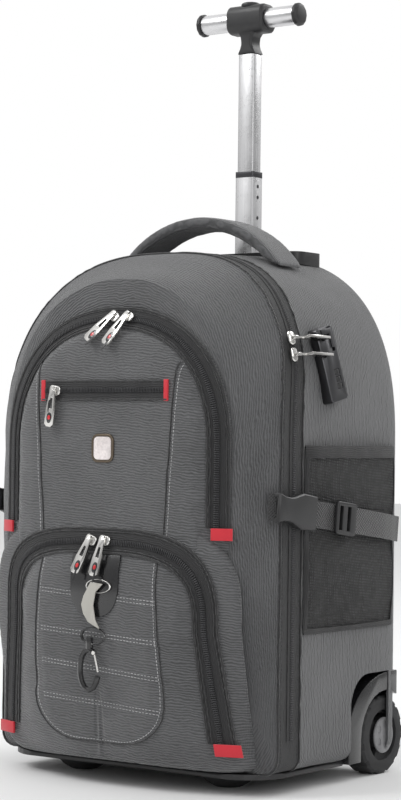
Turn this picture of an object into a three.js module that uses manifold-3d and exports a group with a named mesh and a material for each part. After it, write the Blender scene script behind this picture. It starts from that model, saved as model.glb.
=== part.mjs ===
// Rolling backpack: a soft bag with two front pockets, side mesh pockets, a telescopic pull handle,
// two rear wheels and two front feet. Millimetres, +Z up, the front faces -Y, the back panel is at y = 0
// while the pieces are made, and the finished group is moved so that its box is centred over the origin.

import * as THREE from 'three';
import { mergeVertices } from 'three/addons/utils/BufferGeometryUtils.js';
import Module from 'manifold-3d';

const wasm = await Module();
wasm.setup();

// Clearances and cloth
const GAP = 0.3;
const CLOTH = 2.5;
const POCKET_CLOTH = 2;
const TAPE = 1.6;

// Bag body
const BAG_TOP = 510;
const BAG_FOOT = 20;
const BAG_HALF = 164;
const SHOULDER = 320;
const CORNER = 14;
const POCKET_CORNER = 6;
const REAR_DEPTH = 176.5;
const LANE_WIDTH = 35;
const FRONT_DEPTH = 32;
const LANE_FOOT = 50;
const TUCK_TOP = 200;
const FOOT_REACH = 0.15;
const FRONT_FOOT_RISE = 6;

// Front pockets
const UPPER_HALF = 135;
const UPPER_TOP = 446;
const UPPER_BULGE = 20;
const UPPER_BAND = 18;
const UPPER_TAB_FOOT = 233;
const LOWER_HALF = 149;
const LOWER_TOP = 250;
const LOWER_BULGE = 31;
const LOWER_BAND = 22;
const LOWER_SHOULDER = 150;
const LOWER_TAB_FOOT = 38;
const TAB_HEIGHT = 11;
const TAB_THICK = 2.2;
const SLIM_HALF = 70;
const SLIM_HEIGHT = 18;
const SLIM_Z = 369;
const BADGE_WIDTH = 26;
const BADGE_HEIGHT = 27;
const BADGE_Z = 315;
const BADGE_RIM = 2.4;
const BADGE_DEPTH = 2.6;
const BADGE_BASE = 0.9;
const BADGE_CORNER = 7;
const PATCH_WIDTH = 56;
const PATCH_LENGTH = 58;

// Side mesh pockets and compression straps
const MESH_FOOT = 146;
const MESH_TOP = 318;
const MESH_BACK_INSET = 14;
const MESH_FRONT_INSET = 3;
const MESH_BULGE = 9;
const MESH_CLOTH = 1.6;
const WEB_WIDTH = 25;
const WEB_THICK = 1.6;
const STRAP_FRONT_Z = 264;
const STRAP_BACK_Z = 238;
const BUCKLE_LENGTH = 62;
const BUCKLE_HEIGHT = 33;
const BUCKLE_THICK = 8;
const BUCKLE_SET_FORWARD = 21.5;
const BUCKLE_BITE = 6;
const LADDER_LENGTH = 34;
const LADDER_HEIGHT = 31;
const LADDER_THICK = 4;
const LADDER_INSET = 118;

// Pull handle
const POLE_INSET = 31.8;
const LOWER_TUBE_WIDTH = 22;
const LOWER_TUBE_DEPTH = 18;
const TUBE_WALL = 1;
const SLIDE_GAP = 0.4;
const SLEEVE_WALL = 2;
const SLEEVE_LENGTH = 250;
const JOINT_Z = 597;
const NECK_Z = 717;
const LOWER_TUBE_LENGTH = 262;
const UPPER_TUBE_LENGTH = 275;
const GRIP_AXIS_Z = 752.7;
const HANDLE_LENGTH = 127;
const GRIP_RADIUS = 10;
const GRIP_LENGTH = 34;
const CORE_RADIUS = 6;
const CAP_RADIUS = 12;
const HUB_LENGTH = 44;
const HUB_DEPTH = 28;
const HUB_HEIGHT = 29;
const BUTTON_RADIUS = 10;
const BUTTON_TRAVEL = 3;
const BUTTON_SINK = 2;
const BUTTON_HEIGHT = 5.6;
const CRADLE_LENGTH = 156;
const CRADLE_WIDTH = 48;
const CRADLE_RISE = 2;
const CRADLE_DEPTH = 24;
const CRADLE_DISH = 1.2;
const CRADLE_CORNER = 12;

// Grab handle
const GRAB_SPAN = 164;
const GRAB_RISE = 37;
const GRAB_WIDTH = 44;
const GRAB_THICK = 11;
const GRAB_INSET = 100.5;

// Base, wheels and feet
const TRAY_THICK = 5;
const TRAY_INSET = 8;
const TRAY_CORNER = 18;
const FOOT_SPREAD = 86.7;
const FOOT_INSET = 178.5;
const FOOT_RADIUS = 28;
const FOOT_SOLE = 0.45;
const WHEEL_RADIUS = 37.8;
const WHEEL_WIDTH = 24.8;
const WHEEL_CENTRE = 147.1;
const WHEEL_SIDE_GAP = 1.2;
const TREAD_DEPTH = 1.6;
const TREAD_BLOCKS = 12;
const AXLE_INSET = 21.1;
const AXLE_RADIUS = 5;
const AXLE_ROOT = 1;
const ARCH_CLEARANCE = 6.2;
const HOUSING_REACH = 87;
const HOUSING_TOP = 100;
const HOUSING_WALL = 4.5;
const HOUSING_FOOT = 16;

// Zip sliders and pulls
const PULL_LENGTH = 35;
const PULL_WIDTH = 10.5;
const PULL_THICK = 2.4;
const SLIDER_LENGTH = 13;
const SLIDER_WIDTH = 9;
const SLIDER_HEIGHT = 4;
const BRIDGE_HEIGHT = 3;
const SLIDER_LIFT = 1.1;
const UPPER_SLIDER_RIGHT_X = 18.7;
const UPPER_SLIDER_LEFT_X = 2.1;
const LOWER_SLIDER_RIGHT_X = 9.2;
const LOWER_SLIDER_LEFT_X = -6.8;
const MAIN_LINK = 14;
const MAIN_PULL_SPREAD = 15;

// Combination lock
const LOCK_Z = 395;
const LOCK_SET_BACK = 43.5;
const LOCK_WIDTH = 30;
const LOCK_HEIGHT = 71;
const LOCK_THICK = 8;
const LOCK_TILT = 11;
const LOCK_SLOT = 3;
const LOCK_CORNER = 4;
const LOCK_BEVEL = 0.8;
const LOCK_ROOT = 7;
const DIAL_RADIUS = 4.2;
const DIAL_WIDTH = 4.6;
const DIAL_PITCH = 6.8;
const DIAL_SHIFT = 5;
const DIAL_STANDOUT = 1.2;
const DIAL_PIN = 1.2;
const LATCH_SHIFT = 1;
const LATCH_LEG_SHIFT = 8.1;

// Ring, hook strap and snap hook
const RING_RADIUS = 14;
const RING_WIRE = 1.1;
const RING_FLATNESS = 0.45;
const RING_X = 7;
const RING_Z = 187.5;
const HOOK_STRAP_DROP = 46;
const HOOK_WEB_WIDTH = 14;
const HOOK_WEB_THICK = 1.2;
const HOOK_LENGTH = 43;
const HOOK_WIDTH = 27;
const HOOK_WIRE = 5.4;
const HOOK_SHIFT = 8;
const LOOP_WIRE = 1.6;
const GATE_WIRE = 1.2;
const GATE_BOSS = 2;

// Shoulder straps
const PAD_WIDTH = 60;
const PAD_THICK = 12;
const PAD_TOP = 462;
const PAD_FOOT = 205;
const PAD_SPREAD = 52;
const PAD_FOOT_SPREAD = 92;
const PAD_TAIL_Z = 112;

const rearLaneY = -REAR_DEPTH;
const frontLaneY = rearLaneY - LANE_WIDTH;
const frontFaceY = frontLaneY - FRONT_DEPTH;
const wheelZ = WHEEL_RADIUS;
const up = new THREE.Vector3(0, 0, 1);

// Corner points nearer to each other than this are one point.
const WELD = 1e-4;

// Geometry tools

function closedGeometry(points, faces) {
  const geometry = new THREE.BufferGeometry();
  const numbers = points.flatMap((p) => [p.x, p.y, p.z]);
  geometry.setAttribute('position', new THREE.Float32BufferAttribute(numbers, 3));
  geometry.setIndex(faces);
  return signedVolume(points, faces) < 0 ? flipped(geometry) : geometry;
}

function signedVolume(points, faces) {
  let volume = 0;
  for (let i = 0; i < faces.length; i += 3) {
    const [a, b, c] = [points[faces[i]], points[faces[i + 1]], points[faces[i + 2]]];
    volume += a.dot(b.clone().cross(c)) / 6;
  }
  return volume;
}

function flipped(geometry) {
  const index = Array.from(geometry.index.array);
  for (let i = 0; i < index.length; i += 3) {
    [index[i], index[i + 1]] = [index[i + 1], index[i]];
  }
  geometry.setIndex(index);
  return geometry;
}

// Rings with the same number of points, joined one after the other and closed at both ends.
// The rings are symmetric, point k facing point n - 1 - k, so an end is closed like a ladder.
function loft(rings) {
  const count = rings[0].length;
  const points = rings.flat();
  const faces = [];
  for (let r = 0; r + 1 < rings.length; r += 1) {
    for (let k = 0; k < count; k += 1) {
      const a = r * count + k;
      const b = r * count + ((k + 1) % count);
      faces.push(a, b, b + count, a, b + count, a + count);
    }
  }
  closeEnd(faces, 0, count, false);
  closeEnd(faces, (rings.length - 1) * count, count, true);
  return closedGeometry(points, faces);
}

function closeEnd(faces, start, count, forward) {
  for (let k = 0; 2 * k + 2 < count; k += 1) {
    const a = start + k;
    const b = start + k + 1;
    const c = start + count - 2 - k;
    const d = start + count - 1 - k;
    const triangles = b === c ? [[a, b, d]] : [[a, b, c], [a, c, d]];
    triangles.forEach(([p, q, s]) => faces.push(...(forward ? [p, q, s] : [q, p, s])));
  }
}

function solidOf(geometry) {
  const merged = mergeVertices(bareCopy(geometry), WELD);
  return new wasm.Manifold(new wasm.Mesh({
    numProp: 3,
    vertProperties: new Float32Array(merged.attributes.position.array),
    triVerts: new Uint32Array(merged.index.array),
  }));
}

function geometryOf(solid) {
  const mesh = solid.getMesh();
  const geometry = new THREE.BufferGeometry();
  geometry.setAttribute('position', new THREE.BufferAttribute(new Float32Array(mesh.vertProperties), 3));
  geometry.setIndex(new THREE.BufferAttribute(new Uint32Array(mesh.triVerts), 1));
  return geometry;
}

function cut(body, ...tools) {
  return geometryOf(tools.reduce((rest, tool) => rest.subtract(solidOf(tool)), solidOf(body)));
}

function join(...pieces) {
  return geometryOf(pieces.slice(1).reduce((sum, piece) => sum.add(solidOf(piece)), solidOf(pieces[0])));
}

function shared(a, b) {
  return geometryOf(solidOf(a).intersect(solidOf(b)));
}

function box(sx, sy, sz, x, y, z) {
  return new THREE.BoxGeometry(sx, sy, sz).translate(x, y, z);
}

// A cylinder whose axis points along x, y or z.
function rod(radius, length, axis, x, y, z, sides = 16) {
  const geometry = new THREE.CylinderGeometry(radius, radius, length, sides);
  if (axis === 'x') geometry.rotateZ(Math.PI / 2);
  if (axis === 'z') geometry.rotateX(Math.PI / 2);
  return geometry.translate(x, y, z);
}

function roundedRectangle(width, height, radius) {
  const w = width / 2;
  const h = height / 2;
  const shape = new THREE.Shape();
  shape.moveTo(-w + radius, -h);
  shape.lineTo(w - radius, -h);
  shape.absarc(w - radius, -h + radius, radius, -Math.PI / 2, 0);
  shape.absarc(w - radius, h - radius, radius, 0, Math.PI / 2);
  shape.absarc(-w + radius, h - radius, radius, Math.PI / 2, Math.PI);
  shape.absarc(-w + radius, -h + radius, radius, Math.PI, Math.PI * 1.5);
  return shape;
}

// A plate of the given outline, from z = 0 up to its thickness, with bevelled rims.
function plate(shape, thickness, bevel = 0, curveSegments = 3) {
  const geometry = new THREE.ExtrudeGeometry(shape, {
    depth: thickness - 2 * bevel,
    bevelEnabled: bevel > 0,
    bevelSize: bevel,
    bevelOffset: -bevel,
    bevelThickness: bevel,
    bevelSegments: 1,
    curveSegments,
  });
  return geometry.translate(0, 0, bevel);
}

// A round wire along a smooth curve through the given points.
function tubeAlong(points, radius, sides, steps) {
  const curve = new THREE.CatmullRomCurve3(points);
  const section = new THREE.Shape();
  section.absarc(0, 0, radius, 0, Math.PI * 2);
  return new THREE.ExtrudeGeometry(section, {
    steps,
    extrudePath: curve,
    bevelEnabled: false,
    curveSegments: sides,
  });
}

// Puts a geometry's own x, y and z onto the given axes at the given place.
function seated(geometry, origin, xAxis, yAxis, zAxis) {
  const matrix = new THREE.Matrix4().makeBasis(xAxis, yAxis, zAxis).setPosition(origin);
  return geometry.clone().applyMatrix4(matrix);
}

function mirrored(geometry) {
  const copy = geometry.index ? geometry.clone() : mergeVertices(bareCopy(geometry), WELD);
  copy.applyMatrix4(new THREE.Matrix4().makeScale(-1, 1, 1));
  return flipped(copy);
}

function bareCopy(geometry) {
  const bare = geometry.clone();
  bare.deleteAttribute('normal');
  bare.deleteAttribute('uv');
  return bare;
}

// Arched sections of the bag and its pockets
//
// A section is an arch: a foot with round corners, upright sides up to the shoulder, and a
// superellipse above it. Its columns are half (half width), top, foot, shoulder, power (of the
// superellipse), sideY (y of the sides), topY (y at the crown), footY (y at the foot) and flare
// (how much wider the legs stand at the foot, as a share of half).

function archAt(row, z, side) {
  const drop = Math.max(0, row.shoulder - z) / (row.shoulder - row.foot);
  const half = row.half * (1 + (row.flare ?? 0) * drop);
  return new THREE.Vector3(side * half, rowY(row, z), z);
}

function rowY(row, z) {
  if (z >= row.shoulder) {
    const rise = (z - row.shoulder) / (row.top - row.shoulder);
    return row.sideY + ((row.topY ?? row.sideY) - row.sideY) * rise * rise;
  }
  const tuckTop = Math.min(TUCK_TOP, row.shoulder);
  const tuck = 1 - Math.max(0, Math.min(1, (z - row.foot) / (tuckTop - row.foot))) ** 0.75;
  return row.sideY + ((row.footY ?? row.sideY) - row.sideY) * tuck;
}

function crownPoint(row, angle) {
  const power = 2 / row.power;
  const x = row.half * Math.sign(Math.cos(angle)) * Math.abs(Math.cos(angle)) ** power;
  const z = row.shoulder + (row.top - row.shoulder) * Math.abs(Math.sin(angle)) ** power;
  return new THREE.Vector3(x, rowY(row, z), z);
}

// The legs and crown of an arch, from the right leg over the top to the left leg.
function archPath(row, legHeights, crownSteps) {
  const points = legHeights.map((z) => archAt(row, z, 1));
  for (let k = 0; k <= crownSteps; k += 1) {
    points.push(crownPoint(row, (Math.PI * k) / crownSteps));
  }
  return points.concat([...legHeights].reverse().map((z) => archAt(row, z, -1)));
}

// A whole closed ring: the arch, with round corners at its foot.
function archRing(row, legHeights, crownSteps) {
  const corner = row.corner ?? CORNER;
  const base = archAt(row, row.foot + corner, 1);
  const right = [[1, 1], [0.29, 0.71], [0.01, 0.13]].map(([inward, drop]) => {
    const z = row.foot + corner * (1 - drop);
    return new THREE.Vector3(base.x - corner * inward, rowY(row, z), z);
  });
  const left = right.map((p) => new THREE.Vector3(-p.x, p.y, p.z)).reverse();
  return [...right, ...archPath(row, legHeights, crownSteps), ...left];
}

function grown(row, by) {
  return {
    ...row,
    half: row.half + by,
    top: row.top + by,
    foot: row.foot - by,
  };
}

function movedY(row, by) {
  const copy = { ...row, sideY: row.sideY + by };
  if (row.topY !== undefined) copy.topY = row.topY + by;
  if (row.footY !== undefined) copy.footY = row.footY + by;
  return copy;
}

// A solid that fills the given rows, grown on all sides by the given amount.
function filled(rows, by, legHeights, crownSteps) {
  const last = rows.length - 1;
  const direction = Math.sign(rows[last].sideY - rows[0].sideY);
  const rings = rows.map((row, i) => {
    const reach = i === 0 ? -by : by;
    return archRing(movedY(grown(row, by), reach * direction), legHeights, crownSteps);
  });
  return loft(rings.reverse());
}

// An open cup of cloth: from its closed end along the outside to the rim, and back inside.
function cup(rows, wall, legHeights, crownSteps) {
  const direction = Math.sign(rows[rows.length - 1].sideY - rows[0].sideY);
  const outer = rows.map((row) => archRing(row, legHeights, crownSteps));
  const inner = rows.map((row, i) => {
    const shift = i === 0 ? 0 : -wall * direction * 0.8;
    return archRing(movedY(grown(row, -wall), shift), legHeights, crownSteps);
  });
  return loft([...outer.reverse(), ...inner]);
}

// Bag body rows, from the zip lane to the back panel and to the front face

const BODY_LEGS = [0.28, 0.5, 0.75].map((share) => share * SHOULDER);
const BODY_CROWN = 16;

const rearRows = [
  { half: 1, rise: 0.974, power: 3.2, y: -1.198 },
  { half: 1, rise: 0.979, power: 3.1, y: -1 },
  { half: 1.003, rise: 0.99, power: 2.8, y: -0.62 },
  { half: 1.002, rise: 0.999, power: 2.55, y: -0.22 },
  { half: 0.99, rise: 1, power: 2.5, y: -0.06 },
  { half: 0.965, rise: 0.99, power: 2.5, y: -0.016 },
  { half: 0.93, rise: 0.965, power: 2.5, y: 0 },
].map((row) => bodyRow(row, row.y < -1 ? frontLaneY + GAP : row.y * REAR_DEPTH));

const frontRows = [
  { half: 1, rise: 0.972, power: 3.2, reach: 0 },
  { half: 0.99, rise: 0.955, power: 3.1, reach: 0.28 },
  { half: 0.955, rise: 0.9, power: 2.8, reach: 0.66 },
  { half: 0.92, rise: 0.85, power: 2.6, reach: 0.9 },
  { half: 0.895, rise: 0.81, power: 2.5, reach: 1 },
].map((row) => ({
  ...bodyRow(row, frontLaneY - row.reach * FRONT_DEPTH),
  foot: BAG_FOOT + FRONT_FOOT_RISE * row.reach * row.reach,
  footY: frontLaneY - row.reach * FRONT_DEPTH * FOOT_REACH,
}));

function bodyRow(row, y) {
  return {
    half: row.half * BAG_HALF,
    top: SHOULDER + (BAG_TOP - SHOULDER) * row.rise,
    foot: BAG_FOOT,
    shoulder: SHOULDER,
    power: row.power,
    sideY: y,
  };
}

// The half width of the bag at a depth and a height, read from the rear rows.
function sideX(y, z) {
  const rows = rearRows;
  let k = 1;
  while (k < rows.length - 1 && rows[k].sideY < y) k += 1;
  const [a, b] = [rows[k - 1], rows[k]];
  const t = (y - a.sideY) / (b.sideY - a.sideY);
  const widthAt = (row) => {
    const rise = Math.max(0, z - row.shoulder) / (row.top - row.shoulder);
    return row.half * Math.max(0, 1 - rise ** row.power) ** (1 / row.power);
  };
  return widthAt(a) + (widthAt(b) - widthAt(a)) * t;
}

function bagSolid(by) {
  return filled(rearRows, by, BODY_LEGS, BODY_CROWN);
}

function frontSolid(by) {
  return filled(frontRows, by, BODY_LEGS, BODY_CROWN);
}

function backShell() {
  const laneY = rearLaneY - LANE_WIDTH;
  const lane = box(4 * BAG_HALF, 2 * LANE_WIDTH, BAG_TOP, 0, laneY, LANE_FOOT + BAG_TOP / 2);
  const poleHole = box(
    sleeveWidth() + 2 * GAP, sleeveDepth() + 2 * GAP, BAG_TOP, 0, -POLE_INSET, BAG_TOP,
  );
  const housings = [1, -1].map((side) => housingBlock(side, GAP));
  return cut(cup(rearRows, CLOTH, BODY_LEGS, BODY_CROWN), lane, poleHole, ...housings);
}

function frontShell() {
  return cup(frontRows, CLOTH, BODY_LEGS, BODY_CROWN);
}

// The black strip that carries the main zip, over the top and down both sides.
function mainZipBand() {
  const legs = [LANE_FOOT + GAP, ...BODY_LEGS.slice(1)];
  const front = { ...frontRows[0], sideY: frontLaneY + GAP };
  const rear = { ...rearRows[1], sideY: rearLaneY - GAP };
  const corners = [front, rear, grown(rear, -CLOTH), grown(front, -CLOTH)];
  const paths = corners.map((row) => archPath(row, legs, BODY_CROWN));
  return loft(paths[0].map((_, k) => paths.map((path) => path[k])));
}

// Pockets

const UPPER_LEGS = [UPPER_TAB_FOOT, UPPER_TAB_FOOT + TAB_HEIGHT, (UPPER_TAB_FOOT + 2 * SHOULDER) / 3];
const LOWER_LEGS = [LOWER_TAB_FOOT, LOWER_TAB_FOOT + TAB_HEIGHT, 0.6 * LOWER_SHOULDER];
const POCKET_CROWN = 14;

// Columns: inset (share of the half width), bands (how many band widths further in) and forward
// (share of the bulge).
const upperRows = [
  { inset: -0.007, bands: 0, forward: -0.2 },
  { inset: 0, bands: 0, forward: 0.06 },
  { inset: 0, bands: 1, forward: 0.5 },
  { inset: 0.067, bands: 1, forward: 0.85 },
  { inset: 0.193, bands: 1, forward: 1 },
].map((row) => ({
  half: UPPER_HALF * (1 - row.inset) - UPPER_BAND * row.bands,
  top: UPPER_TOP - UPPER_HALF * row.inset - UPPER_BAND * row.bands,
  foot: UPPER_TAB_FOOT - 1.1 * TAB_HEIGHT,
  corner: POCKET_CORNER,
  shoulder: 0.9875 * SHOULDER,
  power: 2.4,
  sideY: frontFaceY - row.forward * UPPER_BULGE,
}));

// Columns: inset (share of the half width), drop (share of the top's height), bands (how many band
// widths further in and down), side, crown and lift (shares of the bulge), foot (share of the front's
// depth) and flare (how much wider the legs stand at the foot).
const lowerRows = [
  { inset: 0, drop: 0, bands: 0, side: -0.1, crown: -0.1, foot: 1.05, lift: 0, flare: 0 },
  { inset: 0, drop: 0, bands: 0, side: 0.05, crown: 0.56, foot: 0.92, lift: 0, flare: 0 },
  { inset: 0.134, drop: 0.04, bands: 0, side: 0.25, crown: 0.72, foot: 0.62, lift: 0.016, flare: 0.13 },
  { inset: 0.134, drop: 0.04, bands: 1, side: 0.46, crown: 0.86, foot: 0.5, lift: 0.048, flare: 0.13 },
  { inset: 0.242, drop: 0.104, bands: 1, side: 0.82, crown: 0.97, foot: 0.42, lift: 0.13, flare: 0 },
  { inset: 0.416, drop: 0.176, bands: 1, side: 1, crown: 1, foot: 0.38, lift: 0.26, flare: 0 },
].map((row) => ({
  half: LOWER_HALF * (1 - row.inset) - LOWER_BAND * row.bands,
  top: LOWER_TOP * (1 - row.drop) - LOWER_BAND * row.bands,
  foot: BAG_FOOT + 3 * GAP + LOWER_BULGE * row.lift,
  corner: POCKET_CORNER,
  shoulder: LOWER_SHOULDER,
  power: 3.3,
  sideY: frontFaceY - row.side * LOWER_BULGE,
  topY: frontFaceY - row.crown * LOWER_BULGE,
  footY: frontFaceY - row.side * LOWER_BULGE + row.foot * FRONT_DEPTH,
  flare: row.flare,
}));

// Each zip band lies between two neighbouring rows.
const upperBandEdges = [upperRows[1], upperRows[2]];
const lowerBandEdges = [lowerRows[2], lowerRows[3]];

function lowerSolid(by) {
  return filled(lowerRows, by, LOWER_LEGS, POCKET_CROWN);
}

function upperSolid(by) {
  return filled(upperRows, by, UPPER_LEGS, POCKET_CROWN);
}

function upperPocket() {
  const band = bandSlack(lowerBandEdges, LOWER_LEGS, POCKET_CROWN);
  return cut(cup(upperRows, POCKET_CLOTH, UPPER_LEGS, POCKET_CROWN), frontSolid(GAP), lowerSolid(GAP), band);
}

function lowerPocket() {
  return cut(cup(lowerRows, POCKET_CLOTH, LOWER_LEGS, POCKET_CROWN), frontSolid(GAP), bagSolid(GAP));
}

// A tape of cloth that lies on a pocket between two of its rows, on the stretch of path given.
function tapeBetween(outerRow, innerRow, legs, crownSteps, first, last, lift, thick) {
  const outer = archPath(outerRow, legs, crownSteps);
  const inner = archPath(innerRow, legs, crownSteps);
  const normals = outer.map((_, k) => {
    const before = Math.max(0, k - 1);
    const after = Math.min(outer.length - 1, k + 1);
    const along = outer[after].clone().sub(outer[before]).add(inner[after]).sub(inner[before]);
    const across = inner[k].clone().sub(outer[k]);
    const normal = along.cross(across).normalize();
    return normal.y > 0 ? normal.negate() : normal;
  });
  const raised = (point, k, by) => point.clone().addScaledVector(normals[k], by);
  const rows = [];
  for (let k = first; k <= last; k += 1) {
    rows.push([
      raised(outer[k], k, lift + thick), raised(inner[k], k, lift + thick),
      raised(inner[k], k, lift), raised(outer[k], k, lift),
    ]);
  }
  return loft(rows);
}

// A zip's tape, from the tab on one leg to the tab on the other, with a gap to both.
function zipBand(edges, legs, crownSteps, body) {
  const shortened = [legs[0], legs[1] + GAP, legs[2]];
  const last = 2 * shortened.length + crownSteps - 1;
  const tape = tapeBetween(...edges, shortened, crownSteps, 1, last, -POCKET_CLOTH, POCKET_CLOTH + GAP + TAPE);
  return cut(tape, body);
}

// The room that a whole zip band takes, with a gap around it.
function bandSlack(edges, legs, crownSteps) {
  const last = 2 * legs.length + crownSteps;
  return tapeBetween(...edges, legs, crownSteps, 0, last, -POCKET_CLOTH, POCKET_CLOTH + 2 * GAP + TAPE);
}

function zipTab(edges, legs, body) {
  return cut(tapeBetween(...edges, legs, 2, 0, 1, -POCKET_CLOTH, POCKET_CLOTH + GAP + TAB_THICK), body);
}

// The flat of the upper pocket, where the slim zip, its tabs and the badge lie.
const upperFlatY = upperRows[4].sideY;

function onUpperFlat(geometry, x, z) {
  return seated(geometry, new THREE.Vector3(x, upperFlatY - GAP, z),
    new THREE.Vector3(1, 0, 0), new THREE.Vector3(0, 0, 1), new THREE.Vector3(0, -1, 0));
}

function slimZipBand() {
  return onUpperFlat(box(2 * SLIM_HALF, SLIM_HEIGHT, TAPE, 0, 0, TAPE / 2), 0, SLIM_Z);
}

function slimTab(side) {
  const width = 0.45 * TAB_HEIGHT;
  const tab = box(width, 1.1 * SLIM_HEIGHT, TAB_THICK, 0, 0, TAB_THICK / 2);
  return onUpperFlat(tab, side * (SLIM_HALF + GAP + width / 2), SLIM_Z);
}

function badgeRim() {
  const outer = plate(badgeOutline(0), BADGE_DEPTH, 0.25 * BADGE_DEPTH, 2);
  const recess = plate(badgeOutline(BADGE_RIM), BADGE_DEPTH, 0, 2);
  return onUpperFlat(cut(outer, recess.translate(0, 0, BADGE_BASE)), 0, BADGE_Z);
}

function badgeFace() {
  const face = plate(badgeOutline(BADGE_RIM + GAP), 0.4 * BADGE_DEPTH, 0, 2);
  return onUpperFlat(face.translate(0, 0, BADGE_BASE + GAP), 0, BADGE_Z);
}

function badgeOutline(inset) {
  return roundedRectangle(BADGE_WIDTH - 2 * inset, BADGE_HEIGHT - 2 * inset, BADGE_CORNER - inset);
}

// The black patch that hangs behind the lower sliders, laid on the pocket's front.
function sliderPatch() {
  const shape = new THREE.Shape();
  const half = PATCH_WIDTH / 2;
  const top = lowerRows[3].top - TAPE;
  const foot = top - PATCH_LENGTH;
  const straight = foot + half * 0.9;
  shape.moveTo(-half, top);
  shape.lineTo(-half, straight);
  shape.quadraticCurveTo(-half * 0.9, foot, 0, foot);
  shape.quadraticCurveTo(half * 0.9, foot, half, straight);
  shape.lineTo(half, top);
  const block = plate(shape, 3 * LOWER_BULGE, 0, 6);
  const wide = seated(block, new THREE.Vector3(0, frontFaceY, 0),
    new THREE.Vector3(1, 0, 0), new THREE.Vector3(0, 0, 1), new THREE.Vector3(0, -1, 0));
  return cut(shared(wide, lowerSolid(GAP + TAPE)), lowerSolid(GAP));
}

// Side mesh pockets

const buckleY = rearLaneY - BUCKLE_SET_FORWARD;
const strapSlope = (STRAP_BACK_Z - STRAP_FRONT_Z) / (BUCKLE_LENGTH / 2 - buckleY);
const meshFrontY = rearLaneY + MESH_FRONT_INSET;
const meshBackY = -MESH_BACK_INSET;

function strapZ(y) {
  return STRAP_BACK_Z + strapSlope * y;
}

// How far the mesh stands off the bag: full in the middle, nothing at its sewn edges, and pulled in
// by the strap that crosses it.
function meshBulge(y, z) {
  const share = Math.min(1, Math.max(0, (y - meshFrontY) / (meshBackY - meshFrontY)));
  const along = Math.max(0, Math.sin(Math.PI * share)) ** 0.6;
  const height = Math.min(1, Math.max(0, z - MESH_FOOT) / (0.24 * (MESH_TOP - MESH_FOOT))) ** 0.6;
  const pinch = 1 - 0.72 * Math.exp(-(((z - strapZ(y)) / WEB_WIDTH) ** 2));
  return MESH_BULGE * along * height * pinch;
}

function sidePocket() {
  const columns = 8;
  const heights = [0, 0.1, 0.25, 0.42, 0.55, 0.68, 0.84, 1].map((t) => MESH_FOOT + (MESH_TOP - MESH_FOOT) * t);
  const rings = heights.map((z) => {
    const inner = [];
    const outer = [];
    for (let k = 0; k <= columns; k += 1) {
      const y = meshFrontY + ((meshBackY - meshFrontY) * k) / columns;
      const x = sideX(y, z) + 1.4 * GAP + meshBulge(y, z);
      inner.push(new THREE.Vector3(x, y, z));
      outer.push(new THREE.Vector3(x + MESH_CLOTH, y, z));
    }
    return [...inner, ...outer.reverse()];
  });
  return cut(loft(rings), bagSolid(GAP));
}

function strapX(y) {
  const edge = Math.max(meshBulge(y, strapZ(y) + WEB_WIDTH / 2), meshBulge(y, strapZ(y) - WEB_WIDTH / 2));
  return sideX(y, strapZ(y)) + 1.4 * GAP + edge + MESH_CLOTH + 2 * GAP;
}

// Webbing along a side of the bag, between two depths.
function webbing(fromY, toY, steps) {
  const rows = [];
  for (let k = 0; k <= steps; k += 1) {
    const y = fromY + ((toY - fromY) * k) / steps;
    const x = strapX(y);
    const low = strapZ(y) - WEB_WIDTH / 2;
    const high = strapZ(y) + WEB_WIDTH / 2;
    rows.push([
      new THREE.Vector3(x, y, low), new THREE.Vector3(x, y, high),
      new THREE.Vector3(x + WEB_THICK, y, high), new THREE.Vector3(x + WEB_THICK, y, low),
    ]);
  }
  return loft(rows);
}

const buckleFrontY = buckleY - BUCKLE_LENGTH / 2;
const buckleBackY = buckleY + BUCKLE_LENGTH / 2;
const ladderY = -LADDER_INSET;

// The rear webbing: from the buckle over the mesh pocket to the back edge, where it is sewn down.
function rearStrap() {
  const sewn = meshBackY + 0.45 * MESH_BACK_INSET;
  const run = webbing(buckleBackY - BUCKLE_BITE, sewn, 10);
  const inner = sideX(sewn, STRAP_BACK_Z) - BUCKLE_BITE;
  const outer = strapX(sewn) + WEB_THICK;
  const endY = sewn + WEB_THICK - GAP;
  const end = box(outer - inner, 2 * WEB_THICK, WEB_WIDTH, (inner + outer) / 2, endY, strapZ(sewn));
  return cut(join(run, end), bagSolid(GAP));
}

// The front webbing: a short stretch from the side seam to the buckle, grown by the given amount.
function frontWebbing(by) {
  const z = strapZ(buckleFrontY);
  const start = new THREE.Vector3(0.9 * BAG_HALF, frontLaneY - 0.62 * FRONT_DEPTH, z);
  const end = new THREE.Vector3(strapX(buckleY) + WEB_THICK / 2, buckleFrontY + BUCKLE_BITE + by, z);
  const along = end.clone().sub(start);
  const length = along.length();
  along.normalize();
  const band = box(length, WEB_THICK + 2 * by, WEB_WIDTH + 2 * by, length / 2, 0, 0);
  return seated(band, start, along, up.clone().cross(along), up);
}

function frontStrap() {
  return cut(frontWebbing(0), frontSolid(GAP), bagSolid(GAP));
}

// A frame on the right side whose x axis points backwards along the compression strap.
function alongStrap(origin) {
  const tilt = Math.atan(strapSlope);
  return {
    origin,
    xAxis: new THREE.Vector3(0, Math.cos(tilt), Math.sin(tilt)),
    yAxis: new THREE.Vector3(0, -Math.sin(tilt), Math.cos(tilt)),
    zAxis: new THREE.Vector3(1, 0, 0),
  };
}

function buckleFrame() {
  const x = Math.max(strapX(buckleY), strapX(buckleBackY)) - GAP;
  return alongStrap(new THREE.Vector3(x, buckleY, strapZ(buckleY)));
}

function onSide(geometry, frame) {
  return seated(geometry, frame.origin, frame.xAxis, frame.yAxis, frame.zAxis);
}

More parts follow.
